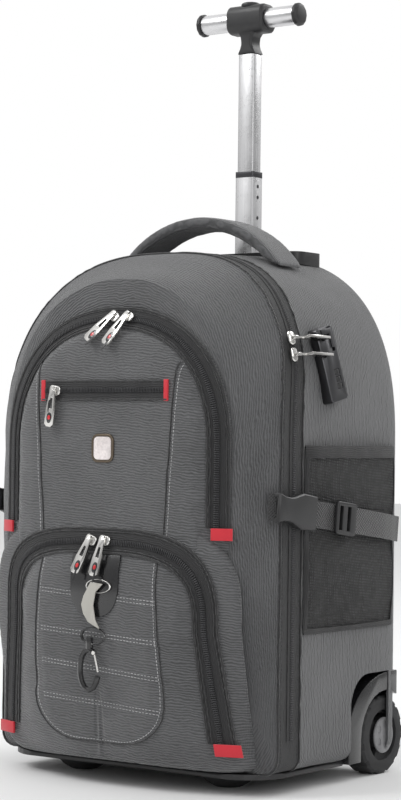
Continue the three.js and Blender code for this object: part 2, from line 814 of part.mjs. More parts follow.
// A side-release buckle: waisted, open at both ends for the webbing.
function buckle() {
  const half = BUCKLE_LENGTH / 2;
  const tall = BUCKLE_HEIGHT / 2;
  const shape = new THREE.Shape();
  shape.moveTo(-half, -tall * 0.8);
  shape.quadraticCurveTo(-half * 0.5, -tall * 0.55, -half * 0.2, -tall * 0.72);
  shape.lineTo(half * 0.25, -tall);
  shape.lineTo(half, -tall * 0.95);
  shape.lineTo(half, tall * 0.95);
  shape.lineTo(half * 0.25, tall);
  shape.lineTo(-half * 0.2, tall * 0.72);
  shape.quadraticCurveTo(-half * 0.5, tall * 0.55, -half, tall * 0.8);
  const body = plate(shape, BUCKLE_THICK, 0.15 * BUCKLE_THICK, 3);
  const slot = box(0.65 * half, WEB_WIDTH + 6 * GAP, 2 * WEB_THICK + 8 * GAP, 0.87 * half, 0, 0);
  const window = box(0.65 * half, 0.8 * WEB_WIDTH, 2 * BUCKLE_THICK, -0.87 * half, 0, -0.45 * BUCKLE_THICK);
  const placed = onSide(cut(body, slot, window), buckleFrame());
  return cut(placed, frontWebbing(GAP), bagSolid(GAP), frontSolid(GAP));
}

function ladderSlider() {
  const body = plate(roundedRectangle(LADDER_LENGTH, LADDER_HEIGHT, 3), LADDER_THICK, 0.2 * LADDER_THICK, 2);
  const slots = [-0.3, 0.1].map((share) => box(
    0.18 * LADDER_LENGTH, 0.74 * LADDER_HEIGHT, 3 * LADDER_THICK, share * LADDER_LENGTH, 0, 0,
  ));
  const origin = new THREE.Vector3(strapX(ladderY) + WEB_THICK + 2 * GAP, ladderY, strapZ(ladderY));
  const strap = webbing(ladderY - LADDER_LENGTH, ladderY + LADDER_LENGTH, 6).translate(GAP, 0, 0);
  return cut(onSide(cut(body, ...slots), alongStrap(origin)), strap);
}

// Pull handle

function sleeveWidth() {
  return LOWER_TUBE_WIDTH + 2 * SLIDE_GAP + 2 * SLEEVE_WALL;
}

function sleeveDepth() {
  return LOWER_TUBE_DEPTH + 2 * SLIDE_GAP + 2 * SLEEVE_WALL;
}

function squareTube(width, depth, radius, length, z) {
  return plate(roundedRectangle(width, depth, radius), length, 0, 1).translate(0, -POLE_INSET, z);
}

// The bezel on the bag's top, with the guide sleeve that reaches down inside the back.
function handleCradle() {
  const top = BAG_TOP + CRADLE_RISE;
  const bezel = plate(roundedRectangle(CRADLE_LENGTH, CRADLE_WIDTH, CRADLE_CORNER), CRADLE_DEPTH, 0, 3);
  const recess = plate(
    roundedRectangle(1.06 * HANDLE_LENGTH, 2.5 * CAP_RADIUS, 0.8 * CRADLE_CORNER), CRADLE_DEPTH, 0, 3,
  );
  const seat = cut(
    bezel.translate(0, -POLE_INSET + (CRADLE_WIDTH / 2 - POLE_INSET) / 4, top - CRADLE_DEPTH),
    bagSolid(GAP),
    recess.translate(0, -POLE_INSET, top - CRADLE_DISH),
  );
  const guide = squareTube(sleeveWidth(), sleeveDepth(), 3, SLEEVE_LENGTH, top - CRADLE_DISH - SLEEVE_LENGTH);
  const bore = squareTube(
    LOWER_TUBE_WIDTH + 2 * SLIDE_GAP, LOWER_TUBE_DEPTH + 2 * SLIDE_GAP, 2, 2 * SLEEVE_LENGTH,
    top - 1.5 * SLEEVE_LENGTH,
  );
  return cut(join(seat, guide), bore);
}

function lowerTube() {
  const foot = JOINT_Z - LOWER_TUBE_LENGTH;
  const wall = 2 * TUBE_WALL;
  const outer = squareTube(LOWER_TUBE_WIDTH, LOWER_TUBE_DEPTH, 2, LOWER_TUBE_LENGTH, foot);
  const inner = squareTube(
    LOWER_TUBE_WIDTH - wall, LOWER_TUBE_DEPTH - wall, 1.2, 2 * LOWER_TUBE_LENGTH, foot - LOWER_TUBE_LENGTH / 2,
  );
  return cut(outer, inner);
}

function upperTubeWidth() {
  return LOWER_TUBE_WIDTH - 2 * TUBE_WALL - 2 * SLIDE_GAP;
}

function upperTubeDepth() {
  return LOWER_TUBE_DEPTH - 2 * TUBE_WALL - 2 * SLIDE_GAP;
}

function upperTube() {
  const foot = NECK_Z - UPPER_TUBE_LENGTH;
  const wall = 2 * TUBE_WALL;
  const outer = squareTube(upperTubeWidth(), upperTubeDepth(), 1.6, UPPER_TUBE_LENGTH, foot);
  const inner = squareTube(
    upperTubeWidth() - wall, upperTubeDepth() - wall, 1, 2 * UPPER_TUBE_LENGTH, foot - UPPER_TUBE_LENGTH / 2,
  );
  return cut(outer, inner);
}

// The floor of the button's well: the pressed button stops just above it.
const buttonFloorZ = GRIP_AXIS_Z + HUB_HEIGHT / 2 - BUTTON_SINK - BUTTON_TRAVEL;

// The head: a hollow-waisted neck, the hub, and a core bar with its two domed caps.
function handleHead() {
  const neckHeight = GRIP_AXIS_Z - 0.36 * HUB_HEIGHT - NECK_Z;
  const halfTop = 0.36 * HUB_LENGTH;
  const halfFoot = 0.56 * upperTubeWidth();
  const waist = Math.min(halfTop, halfFoot) * 0.62;
  const shape = new THREE.Shape();
  shape.moveTo(-halfFoot, 0);
  shape.quadraticCurveTo(-waist * 0.85, neckHeight * 0.35, -waist, neckHeight * 0.5);
  shape.quadraticCurveTo(-waist * 0.9, neckHeight * 0.8, -halfTop, neckHeight);
  shape.lineTo(halfTop, neckHeight);
  shape.quadraticCurveTo(waist * 0.9, neckHeight * 0.8, waist, neckHeight * 0.5);
  shape.quadraticCurveTo(waist * 0.85, neckHeight * 0.35, halfFoot, 0);
  const depth = 1.2 * upperTubeDepth();
  const neck = seated(plate(shape, depth, 0.1 * depth, 3),
    new THREE.Vector3(0, -POLE_INSET + depth / 2, NECK_Z + GAP),
    new THREE.Vector3(1, 0, 0), new THREE.Vector3(0, 0, 1), new THREE.Vector3(0, -1, 0));
  const hub = seated(plate(roundedRectangle(HUB_DEPTH, HUB_HEIGHT, 9), HUB_LENGTH, 2, 2),
    new THREE.Vector3(-HUB_LENGTH / 2, -POLE_INSET, GRIP_AXIS_Z),
    new THREE.Vector3(0, 1, 0), new THREE.Vector3(0, 0, 1), new THREE.Vector3(1, 0, 0));
  const core = rod(CORE_RADIUS, 0.94 * HANDLE_LENGTH, 'x', 0, -POLE_INSET, GRIP_AXIS_Z, 12);
  const caps = [1, -1].map((side) => gripCap(side));
  const well = rod(BUTTON_RADIUS + GAP, HUB_HEIGHT, 'z', 0, -POLE_INSET, buttonFloorZ + HUB_HEIGHT / 2, 16);
  return cut(join(hub, neck, core, ...caps), well);
}

function gripCap(side) {
  const length = (HANDLE_LENGTH - HUB_LENGTH) / 2 - GRIP_LENGTH - 2 * GAP;
  const profile = [[0, 0], [0.96, 0], [1, 0.25], [0.95, 0.6], [0.72, 0.88], [0, 1]];
  const points = profile.map(([r, t]) => new THREE.Vector2(r * CAP_RADIUS, t * length));
  const cap = new THREE.LatheGeometry(points, 12).rotateZ(-Math.PI / 2);
  cap.translate(HANDLE_LENGTH / 2 - length, -POLE_INSET, GRIP_AXIS_Z);
  return side > 0 ? cap : mirrored(cap);
}

function grip(side) {
  const centre = side * (HUB_LENGTH / 2 + GAP + GRIP_LENGTH / 2);
  const sleeve = rod(GRIP_RADIUS, GRIP_LENGTH, 'x', centre, -POLE_INSET, GRIP_AXIS_Z, 18);
  const bore = rod(CORE_RADIUS + GAP, GRIP_LENGTH * 2, 'x', centre, -POLE_INSET, GRIP_AXIS_Z, 12);
  return cut(sleeve, bore);
}

function headButton() {
  const low = buttonFloorZ + BUTTON_TRAVEL + GAP;
  const points = [[0, 0], [1, 0], [1, 0.55], [0.8, 0.85], [0, 1]]
    .map(([r, t]) => new THREE.Vector2(r * BUTTON_RADIUS, t * BUTTON_HEIGHT));
  return new THREE.LatheGeometry(points, 16).rotateX(Math.PI / 2).translate(0, -POLE_INSET, low);
}

// Grab handle: a padded arch over the top, sewn down at both ends.
function grabHandle() {
  const half = GRAB_SPAN / 2;
  const radius = (half * half + GRAB_RISE * GRAB_RISE) / (2 * GRAB_RISE);
  const crown = BAG_TOP + 0.9 * GRAB_RISE;
  const centreZ = crown - GRAB_THICK - radius;
  const reach = Math.min(1.35, Math.asin(half / radius) * 1.12);
  const shape = new THREE.Shape();
  shape.absarc(0, centreZ, radius + GRAB_THICK, Math.PI / 2 - reach, Math.PI / 2 + reach);
  shape.absarc(0, centreZ, radius, Math.PI / 2 + reach, Math.PI / 2 - reach, true);
  const arch = seated(plate(shape, GRAB_WIDTH, 0.23 * GRAB_THICK, 12),
    new THREE.Vector3(0, -GRAB_INSET + GRAB_WIDTH / 2, 0),
    new THREE.Vector3(1, 0, 0), new THREE.Vector3(0, 0, 1), new THREE.Vector3(0, -1, 0));
  return cut(arch, bagSolid(GAP));
}

// Base, feet and wheels

function baseTray() {
  const front = frontFaceY + 0.45 * FRONT_DEPTH;
  const length = -0.75 * TRAY_INSET - front;
  const outline = roundedRectangle(2 * (BAG_HALF - TRAY_INSET), length, TRAY_CORNER);
  const tray = plate(outline, TRAY_THICK, 0.2 * TRAY_THICK, 3)
    .translate(0, front + length / 2, BAG_FOOT - GAP - TRAY_THICK);
  const reach = HOUSING_REACH + GAP;
  const inner = housingInnerX() - GAP;
  const roomX = inner + BAG_HALF / 2;
  const rooms = [roomX, -roomX].map((x) => box(BAG_HALF, reach, 3 * BAG_FOOT, x, -reach / 2, 0));
  return cut(tray, ...rooms);
}

function frontFoot(side) {
  const height = BAG_FOOT - 2 * GAP - TRAY_THICK;
  const points = [[0, 0], [FOOT_SOLE, 0], [0.72, 0.3], [0.92, 0.68], [1, 1], [0, 1]]
    .map(([r, t]) => new THREE.Vector2(r * FOOT_RADIUS, t * height));
  const dome = new THREE.LatheGeometry(points, 16).rotateX(Math.PI / 2);
  return dome.translate(side * FOOT_SPREAD, -FOOT_INSET, 0);
}

// The outline of a wheel housing seen from the side, grown by the given amount.
function housingOutline(by) {
  const shape = new THREE.Shape();
  const low = HOUSING_FOOT - by;
  const straight = 0.45 * HOUSING_TOP;
  const flat = 0.12 * HOUSING_REACH;
  shape.moveTo(by, low);
  shape.lineTo(by, HOUSING_TOP + by);
  shape.lineTo(-flat, HOUSING_TOP + by);
  shape.absellipse(
    -flat, straight, HOUSING_REACH - flat + by, HOUSING_TOP - straight + by, Math.PI / 2, Math.PI, false, 0,
  );
  shape.lineTo(-HOUSING_REACH - by, low);
  return shape;
}

function housingInnerX() {
  return wheelInnerX() - WHEEL_SIDE_GAP - HOUSING_WALL;
}

function housingBlock(side, by) {
  const inner = housingInnerX() - by;
  const outer = by > 0 ? 1.1 * BAG_HALF : 0.99 * BAG_HALF;
  const block = seated(plate(housingOutline(by), outer - inner, 0, 5), new THREE.Vector3(inner, 0, 0),
    new THREE.Vector3(0, 1, 0), new THREE.Vector3(0, 0, 1), new THREE.Vector3(1, 0, 0));
  return side > 0 ? block : mirrored(block);
}

function wheelInnerX() {
  return WHEEL_CENTRE - WHEEL_WIDTH / 2;
}

function wheelHousing(side) {
  const wall = wheelInnerX() - WHEEL_SIDE_GAP;
  const radius = WHEEL_RADIUS + ARCH_CLEARANCE;
  const arch = rod(radius, BAG_HALF, 'x', wall + BAG_HALF / 2, -AXLE_INSET, wheelZ, 24);
  const openFoot = box(BAG_HALF, 2 * radius, 2 * wheelZ, wall + BAG_HALF / 2, -AXLE_INSET, 0);
  const openRear = box(BAG_HALF, 2 * radius, 1.65 * radius, wall + BAG_HALF / 2, radius - AXLE_INSET, wheelZ);
  const axle = rod(AXLE_RADIUS, WHEEL_WIDTH, 'x', wall - AXLE_ROOT + WHEEL_WIDTH / 2, -AXLE_INSET, wheelZ, 12);
  const housing = join(cut(housingBlock(1, 0), arch, openFoot, openRear), axle);
  return side > 0 ? housing : mirrored(housing);
}

function wheel(side) {
  const shape = new THREE.Shape();
  const step = (2 * Math.PI) / TREAD_BLOCKS;
  for (let k = 0; k < TREAD_BLOCKS; k += 1) {
    const centre = -Math.PI / 2 + k * step;
    [[-0.36, 0], [0.3, 0], [0.36, 1], [0.58, 1]].forEach(([turn, low]) => {
      const angle = centre + turn * step;
      const radius = WHEEL_RADIUS / Math.cos(0.33 * step) - low * TREAD_DEPTH;
      const x = radius * Math.cos(angle);
      const y = Math.max(-WHEEL_RADIUS, radius * Math.sin(angle));
      if (k === 0 && turn < -0.3) shape.moveTo(x, y);
      else shape.lineTo(x, y);
    });
  }
  for (let k = 0; k < 3; k += 1) shape.holes.push(wheelWindow(k));
  shape.holes.push(ringPath(AXLE_RADIUS + 2 * GAP, 0, 2 * Math.PI * (11 / 12), 11));
  const disc = plate(shape, WHEEL_WIDTH, 0.09 * WHEEL_WIDTH, 3);
  const dish = rod(0.66 * WHEEL_RADIUS, WHEEL_WIDTH / 3, 'z', 0, 0, WHEEL_WIDTH, 18);
  const hub = cut(rod(0.3 * WHEEL_RADIUS, 0.96 * WHEEL_WIDTH, 'z', 0, 0, WHEEL_WIDTH / 2, 12),
    rod(AXLE_RADIUS + 2 * GAP, 1.88 * WHEEL_WIDTH, 'z', 0, 0, 0, 12));
  const body = join(cut(disc, dish), hub);
  const placed = seated(body, new THREE.Vector3(wheelInnerX(), -AXLE_INSET, wheelZ),
    new THREE.Vector3(0, 1, 0), new THREE.Vector3(0, 0, 1), new THREE.Vector3(1, 0, 0));
  return side > 0 ? placed : mirrored(placed);
}

// Points on an arc, then if a second radius is given, back along it.
function ringPath(radius, from, to, steps, backRadius = 0) {
  const path = new THREE.Path();
  for (let k = 0; k <= steps; k += 1) {
    const angle = from + ((to - from) * k) / steps;
    const [x, y] = [radius * Math.cos(angle), radius * Math.sin(angle)];
    if (k === 0) path.moveTo(x, y);
    else path.lineTo(x, y);
  }
  for (let k = steps; backRadius > 0 && k >= 0; k -= 1) {
    const angle = from + ((to - from) * k) / steps;
    path.lineTo(backRadius * Math.cos(angle), backRadius * Math.sin(angle));
  }
  return path;
}

function wheelWindow(k) {
  const middle = Math.PI / 2 + (k * 2 * Math.PI) / 3;
  return ringPath(WHEEL_RADIUS * 0.58, middle - 0.66, middle + 0.66, 3, WHEEL_RADIUS * 0.36);
}

// Zip sliders

// A slider with its pull, in its own frame: x along the zip, y along the pull, z away from the cloth.
function sliderAndPull() {
  const bridgeZ = SLIDER_HEIGHT + BRIDGE_HEIGHT / 3;
  const bridge = box(0.3 * SLIDER_LENGTH, 0.8 * SLIDER_WIDTH, BRIDGE_HEIGHT, 0, 0, bridgeZ);
  const shape = new THREE.Shape();
  const half = PULL_WIDTH / 2;
  shape.moveTo(-half * 0.55, 0);
  shape.lineTo(half * 0.55, 0);
  shape.lineTo(half, -PULL_LENGTH * 0.55);
  shape.lineTo(half, -PULL_LENGTH * 0.93);
  shape.lineTo(half * 0.5, -PULL_LENGTH);
  shape.lineTo(-half * 0.5, -PULL_LENGTH);
  shape.lineTo(-half, -PULL_LENGTH * 0.93);
  shape.lineTo(-half, -PULL_LENGTH * 0.55);
  const slot = new THREE.Path();
  slot.moveTo(-half * 0.25, -PULL_LENGTH * 0.22);
  slot.lineTo(-half * 0.4, -PULL_LENGTH * 0.5);
  slot.lineTo(half * 0.4, -PULL_LENGTH * 0.5);
  slot.lineTo(half * 0.25, -PULL_LENGTH * 0.22);
  shape.holes.push(slot);
  const pull = plate(shape, PULL_THICK).translate(0, GAP, SLIDER_HEIGHT + GAP);
  return join(sliderBody(), bridge, pull);
}

function sliderBody() {
  const outline = roundedRectangle(SLIDER_LENGTH, SLIDER_WIDTH, SLIDER_WIDTH / 3);
  return plate(outline, SLIDER_HEIGHT, 0.2 * SLIDER_HEIGHT, 1);
}

// The cloth surface is the origin; pullDown is the way that the pull hangs.
function placedSlider(origin, pullDown, normal) {
  const yAxis = pullDown.clone().negate().projectOnPlane(normal).normalize();
  const xAxis = yAxis.clone().cross(normal).normalize();
  return seated(sliderAndPull(), origin.clone().addScaledVector(normal, GAP), xAxis, yAxis, normal);
}

// The middle of a zip band at its crown, at a distance to the side, and the cloth's normal there.
function bandPlace(outerRow, innerRow, x, lift) {
  const half = (outerRow.half + innerRow.half) / 2;
  const angle = Math.acos(Math.sign(x) * (Math.abs(x) / half) ** (outerRow.power / 2));
  const outer = crownPoint(outerRow, angle);
  const inner = crownPoint(innerRow, angle);
  const across = inner.clone().sub(outer).normalize();
  const normal = across.clone().cross(new THREE.Vector3(1, 0, 0)).normalize();
  if (normal.y > 0) normal.negate();
  return { origin: outer.add(inner).multiplyScalar(0.5).addScaledVector(normal, lift), across, normal };
}

// A slider lies on its band: its flat foot is let into the band's slack where the band is curved.
function pocketSlider(edges, legs, x, lean) {
  const place = bandPlace(...edges, x, TAPE);
  const down = place.across.clone().add(new THREE.Vector3(lean, 0, 0));
  return cut(placedSlider(place.origin, down, place.normal), bandSlack(edges, legs, POCKET_CROWN));
}

function slimSlider() {
  const place = new THREE.Vector3(-0.8 * SLIM_HALF, upperFlatY - GAP - TAPE, SLIM_Z);
  return placedSlider(place, new THREE.Vector3(-0.14, 0, -1), new THREE.Vector3(0, -1, 0));
}

// Main zip sliders, whose pulls stand on edge and reach back into the lock

function sideNormal(y, z) {
  const step = 2;
  const dy = (sideX(y + step, z) - sideX(y - step, z)) / (2 * step);
  const dz = (sideX(y, z + step) - sideX(y, z - step)) / (2 * step);
  return new THREE.Vector3(1, -dy, -dz).normalize();
}

const mainSliderY = rearLaneY - 0.42 * LANE_WIDTH;
const mainSliderHeights = [1, -1].map((way) => LOCK_Z + 0.21 * LOCK_HEIGHT + (way * MAIN_PULL_SPREAD) / 2);

function mainSliderFrame(z) {
  const normal = sideNormal(mainSliderY, z);
  const origin = new THREE.Vector3(sideX(mainSliderY, z), mainSliderY, z).addScaledVector(normal, SLIDER_LIFT);
  const yAxis = new THREE.Vector3(0, -1, 0).projectOnPlane(normal).normalize();
  return { origin, xAxis: yAxis.clone().cross(normal).normalize(), yAxis, zAxis: normal };
}

function edgePull(by) {
  const low = LOCK_THICK - 1.2 * LOCK_SLOT;
  return box(PULL_THICK + 2 * by, PULL_LENGTH + by, PULL_WIDTH + 2 * by,
    0, -MAIN_LINK - PULL_LENGTH / 2 - by / 2, low + PULL_WIDTH / 2);
}

function mainSlider(z) {
  const bridgeZ = SLIDER_HEIGHT + BRIDGE_HEIGHT / 3;
  const bridge = box(BRIDGE_HEIGHT, 0.55 * SLIDER_WIDTH, 1.6 * BRIDGE_HEIGHT, 0, -SLIDER_WIDTH / 3, bridgeZ);
  const linkZ = SLIDER_HEIGHT + 0.66 * BRIDGE_HEIGHT;
  const link = box(0.7 * BRIDGE_HEIGHT, 1.2 * MAIN_LINK, BRIDGE_HEIGHT, 0, -0.54 * MAIN_LINK, linkZ);
  return onSide(join(sliderBody(), bridge, link, edgePull(0)), mainSliderFrame(z));
}

// Combination lock on the right side

function lockFrame() {
  const y = rearLaneY + LOCK_SET_BACK;
  const zAxis = sideNormal(y, LOCK_Z);
  const lean = THREE.MathUtils.degToRad(LOCK_TILT);
  const yAxis = new THREE.Vector3(0, -Math.sin(lean), Math.cos(lean)).projectOnPlane(zAxis).normalize();
  const xAxis = yAxis.clone().cross(zAxis).normalize();
  return { origin: new THREE.Vector3(sideX(y, LOCK_Z), y, LOCK_Z), xAxis, yAxis, zAxis };
}

const dialHeights = [0, 1, 2].map((k) => -0.113 * LOCK_HEIGHT - DIAL_PITCH * k);
const dialCentreZ = LOCK_THICK + DIAL_STANDOUT - DIAL_RADIUS;

function lockBody() {
  const outline = roundedRectangle(LOCK_WIDTH, LOCK_HEIGHT, LOCK_CORNER);
  let body = plate(outline, LOCK_THICK + LOCK_ROOT, LOCK_BEVEL, 2).translate(0, 0, -LOCK_ROOT);
  const slots = dialHeights.map((y) => box(
    2 * DIAL_RADIUS + 3 * GAP, DIAL_WIDTH + 2 * GAP, 2 * (DIAL_RADIUS + GAP), DIAL_SHIFT, y, dialCentreZ,
  ));
  const pin = rod(DIAL_PIN, 3.6 * DIAL_PITCH, 'y', DIAL_SHIFT, dialHeights[1], dialCentreZ, 8);
  const run = latchRoom(0.6 * LOCK_WIDTH, 0.2 * LOCK_HEIGHT, LATCH_SHIFT, 0.46 * LOCK_HEIGHT);
  const channel = latchRoom(0.2 * LOCK_WIDTH, 0.4 * LOCK_HEIGHT, LATCH_LEG_SHIFT, 0.36 * LOCK_HEIGHT);
  body = join(cut(body, ...slots, run, channel), pin);
  const seatedBody = onSide(body, lockFrame());
  const pulls = mainSliderHeights.map((z) => onSide(edgePull(2 * GAP), mainSliderFrame(z)));
  return cut(seatedBody, bagSolid(GAP), ...pulls);
}

// A shallow channel in the lock's face, along which the latch slides.
function latchRoom(width, height, x, y) {
  return box(width, height, 2 * LOCK_SLOT, x, y, LOCK_THICK);
}

function lockDial(k) {
  const dial = rod(DIAL_RADIUS, DIAL_WIDTH, 'y', DIAL_SHIFT, dialHeights[k], dialCentreZ, 12);
  const bore = rod(DIAL_PIN + GAP, 2 * DIAL_WIDTH, 'y', DIAL_SHIFT, dialHeights[k], dialCentreZ, 8);
  return onSide(cut(dial, bore), lockFrame());
}

// The latch: a hook-shaped slide that closes behind the tips of the pulls.
function lockLatch() {
  const low = LOCK_THICK - LOCK_SLOT + GAP;
  const high = LOCK_THICK + LOCK_BEVEL;
  const middle = (low + high) / 2;
  const bar = box(0.56 * LOCK_WIDTH, 0.07 * LOCK_HEIGHT, high - low, LATCH_SHIFT, 0.44 * LOCK_HEIGHT, middle);
  const legLength = 0.26 * LOCK_HEIGHT;
  const leg = box(0.15 * LOCK_WIDTH, legLength, high - low, LATCH_LEG_SHIFT, 0.345 * LOCK_HEIGHT, middle);
  return onSide(join(bar, leg), lockFrame());
}

// Wire ring, hook strap and snap hook, which hang in front of the lower pocket

const hangY = frontFaceY - LOWER_BULGE - 2 * GAP - TAPE - RING_WIRE - GAP;

function wireRing() {
  const ring = new THREE.TorusGeometry(RING_RADIUS, RING_WIRE, 5, 16);
  return bareCopy(ring).scale(1, RING_FLATNESS, 1).rotateX(Math.PI / 2).translate(RING_X, hangY, RING_Z);
}

// Columns: x and lean (shares of the webbing's width and half width) and drop (share of the length).
const hookStrapPath = [
  { x: -0.02, drop: 0.07, lean: 0.1 },
  { x: -0.61, drop: 0.3, lean: -0.3 },
  { x: -0.79, drop: 0.52, lean: 0 },
  { x: -0.6, drop: 0.76, lean: 0.35 },
  { x: -0.2, drop: 0.93, lean: 0.45 },
];

function hookStrap() {
  const rows = hookStrapPath.map((place) => {
    const half = HOOK_WEB_WIDTH / 2;
    const x = RING_X + place.x * HOOK_WEB_WIDTH;
    const z = RING_Z + RING_RADIUS * RING_FLATNESS - HOOK_STRAP_DROP * place.drop;
    const front = hangY - RING_WIRE - GAP - HOOK_WEB_THICK;
    const back = front + HOOK_WEB_THICK;
    const lean = place.lean * half;
    return [
      new THREE.Vector3(x - half, front, z + lean), new THREE.Vector3(x + half, front, z - lean),
      new THREE.Vector3(x + half, back, z - lean), new THREE.Vector3(x - half, back, z + lean),
    ];
  });
  return loft(rows);
}

const loopZ = RING_Z - HOOK_STRAP_DROP;
const hookTopZ = loopZ - 0.7 * RING_RADIUS;
const hookCentreZ = hookTopZ - HOOK_LENGTH / 2;
const hookX = RING_X - HOOK_SHIFT;
const hookY = hangY - HOOK_WIRE / 3;

function hookPathPoint(turn) {
  const a = HOOK_WIDTH / 2 - HOOK_WIRE / 2;
  const b = HOOK_LENGTH / 2 - HOOK_WIRE / 2;
  return new THREE.Vector3(hookX + a * Math.cos(turn), hookY, hookCentreZ + b * Math.sin(turn));
}

// The hook's bow runs from the gate's pivot over the top and the left side to the nose.
function snapHook() {
  const turns = [0.34, 0.5, 0.65, 0.8, 1, 1.2, 1.35, 1.5, 1.65, 1.8, 1.9].map((t) => t * Math.PI);
  const bow = tubeAlong(turns.map(hookPathPoint), HOOK_WIRE / 2, 4, 12);
  const barrel = rod(0.63 * HOOK_WIRE, 2 * HOOK_WIRE, 'z', hookX, hookY, hookTopZ + 0.55 * HOOK_WIRE, 8);
  const loop = bareCopy(new THREE.TorusGeometry(RING_RADIUS, LOOP_WIRE, 5, 12))
    .scale(1, 0.55, 1).rotateX(Math.PI / 2).translate(hookX + HOOK_SHIFT / 2, hookY, loopZ);
  const boss = rod(GATE_BOSS + GAP, 4 * HOOK_WIRE, 'y', gatePivot.x, hookY, gatePivot.z, 12);
  return cut(join(bow, barrel, loop), boss, hookStrapSlack());
}

function hookStrapSlack() {
  const slack = hookStrap();
  return join(slack.clone().translate(0, GAP, 0), slack.clone().translate(0, -GAP, 0));
}

const gatePivot = hookPathPoint(0.32 * Math.PI);

// The gate: a straight wire from its boss down to just above the hook's nose.
function hookGate() {
  const tip = hookPathPoint(1.93 * Math.PI);
  const wire = tubeAlong([gatePivot, tip.setZ(tip.z + 2 * GATE_WIRE)], GATE_WIRE, 4, 2);
  const boss = rod(GATE_BOSS, 0.75 * HOOK_WIRE, 'y', gatePivot.x, hookY, gatePivot.z, 12);
  return join(wire, boss);
}

// Shoulder straps, lying on the back panel

// Columns: down (share of the pad's length) and wide (share of its width).
const shoulderTable = [
  { down: 0, wide: 0.62 }, { down: 0.06, wide: 0.95 }, { down: 0.3, wide: 1 }, { down: 0.62, wide: 1 },
  { down: 0.93, wide: 0.92 }, { down: 1, wide: 0.5 },
];

function shoulderStrap(side) {
  const length = PAD_TOP - PAD_FOOT;
  const middle = (t) => PAD_SPREAD + (PAD_FOOT_SPREAD - PAD_SPREAD) * t * t;
  const pad = loft(shoulderTable.map(({ down, wide }) => {
    const half = (PAD_WIDTH * wide) / 2;
    const z = PAD_TOP - length * down;
    return [
      new THREE.Vector3(middle(down) - half, GAP, z),
      new THREE.Vector3(middle(down) - half * 0.86, PAD_THICK, z),
      new THREE.Vector3(middle(down) + half * 0.86, PAD_THICK, z),
      new THREE.Vector3(middle(down) + half, GAP, z),
    ];
  }));
  const tailTop = PAD_FOOT + PAD_THICK;
  const tail = box(WEB_WIDTH, WEB_THICK, tailTop - PAD_TAIL_Z,
    PAD_FOOT_SPREAD, GAP + WEB_THICK / 2, (tailTop + PAD_TAIL_Z) / 2);
  const strap = join(pad, tail);
  return side > 0 ? strap : mirrored(strap);
}

// Finished pieces

const bag = new THREE.Group();

function add(name, geometry, colour, roughness, metalness = 0) {
  const material = new THREE.MeshStandardMaterial({ color: colour, roughness, metalness });
  const mesh = new THREE.Mesh(geometry, material);
  mesh.name = name;
  bag.add(mesh);
}

// A piece on the right and its mirror image on the left.
function addPair(name, geometry, colour, roughness, metalness = 0) {
  add(`${name}_right`, geometry, colour, roughness, metalness);
  add(`${name}_left`, mirrored(geometry), colour, roughness, metalness);
}

const GREY = 0x5c5d5f;
const BLACK = 0x1d1d1f;
const RED = 0xbe1e2d;
const STEEL = 0xc8c8ca;
const GUNMETAL = 0x77777a;

add('back_shell', backShell(), GREY, 0.85);
add('front_shell', frontShell(), GREY, 0.85);
add('main_zip_band', mainZipBand(), BLACK, 0.8);
add('upper_pocket', upperPocket(), GREY, 0.85);
add('upper_zip_band', zipBand(upperBandEdges, UPPER_LEGS, POCKET_CROWN, upperSolid(GAP)), BLACK, 0.8);
addPair('upper_zip_tab', zipTab(upperBandEdges, UPPER_LEGS, upperSolid(GAP)), RED, 0.7);
add('slim_zip_band', slimZipBand(), BLACK, 0.8);
addPair('slim_zip_tab', slimTab(1), RED, 0.7);
add('badge_rim', badgeRim(), BLACK, 0.4);
add('badge_face', badgeFace(), 0xf1dcd8, 0.5);
add('lower_pocket', lowerPocket(), GREY, 0.85);
add('lower_zip_band', zipBand(lowerBandEdges, LOWER_LEGS, POCKET_CROWN, lowerSolid(GAP)), BLACK, 0.8);
addPair('lower_zip_tab', zipTab(lowerBandEdges, LOWER_LEGS, lowerSolid(GAP)), RED, 0.7);
add('slider_patch', sliderPatch(), BLACK, 0.5);

addPair('side_mesh_pocket', sidePocket(), BLACK, 0.9);
addPair('rear_strap', rearStrap(), BLACK, 0.8);
addPair('front_strap', frontStrap(), BLACK, 0.8);
addPair('buckle', buckle(), BLACK, 0.4);
addPair('ladder_slider', ladderSlider(), BLACK, 0.4);

add('handle_cradle', handleCradle(), BLACK, 0.5);
add('lower_tube', lowerTube(), STEEL, 0.25, 1);
add('upper_tube', upperTube(), STEEL, 0.2, 1);
add('handle_head', handleHead(), BLACK, 0.4);
add('grip_right', grip(1), BLACK, 0.5);
add('grip_left', grip(-1), BLACK, 0.5);
add('head_button', headButton(), BLACK, 0.4);
add('grab_handle', grabHandle(), GREY, 0.85);

add('base_tray', baseTray(), BLACK, 0.6);
add('front_foot_right', frontFoot(1), BLACK, 0.6);
add('front_foot_left', frontFoot(-1), BLACK, 0.6);
add('wheel_housing_right', wheelHousing(1), BLACK, 0.45);
add('wheel_housing_left', wheelHousing(-1), BLACK, 0.45);
add('wheel_right', wheel(1), BLACK, 0.7);
add('wheel_left', wheel(-1), BLACK, 0.7);

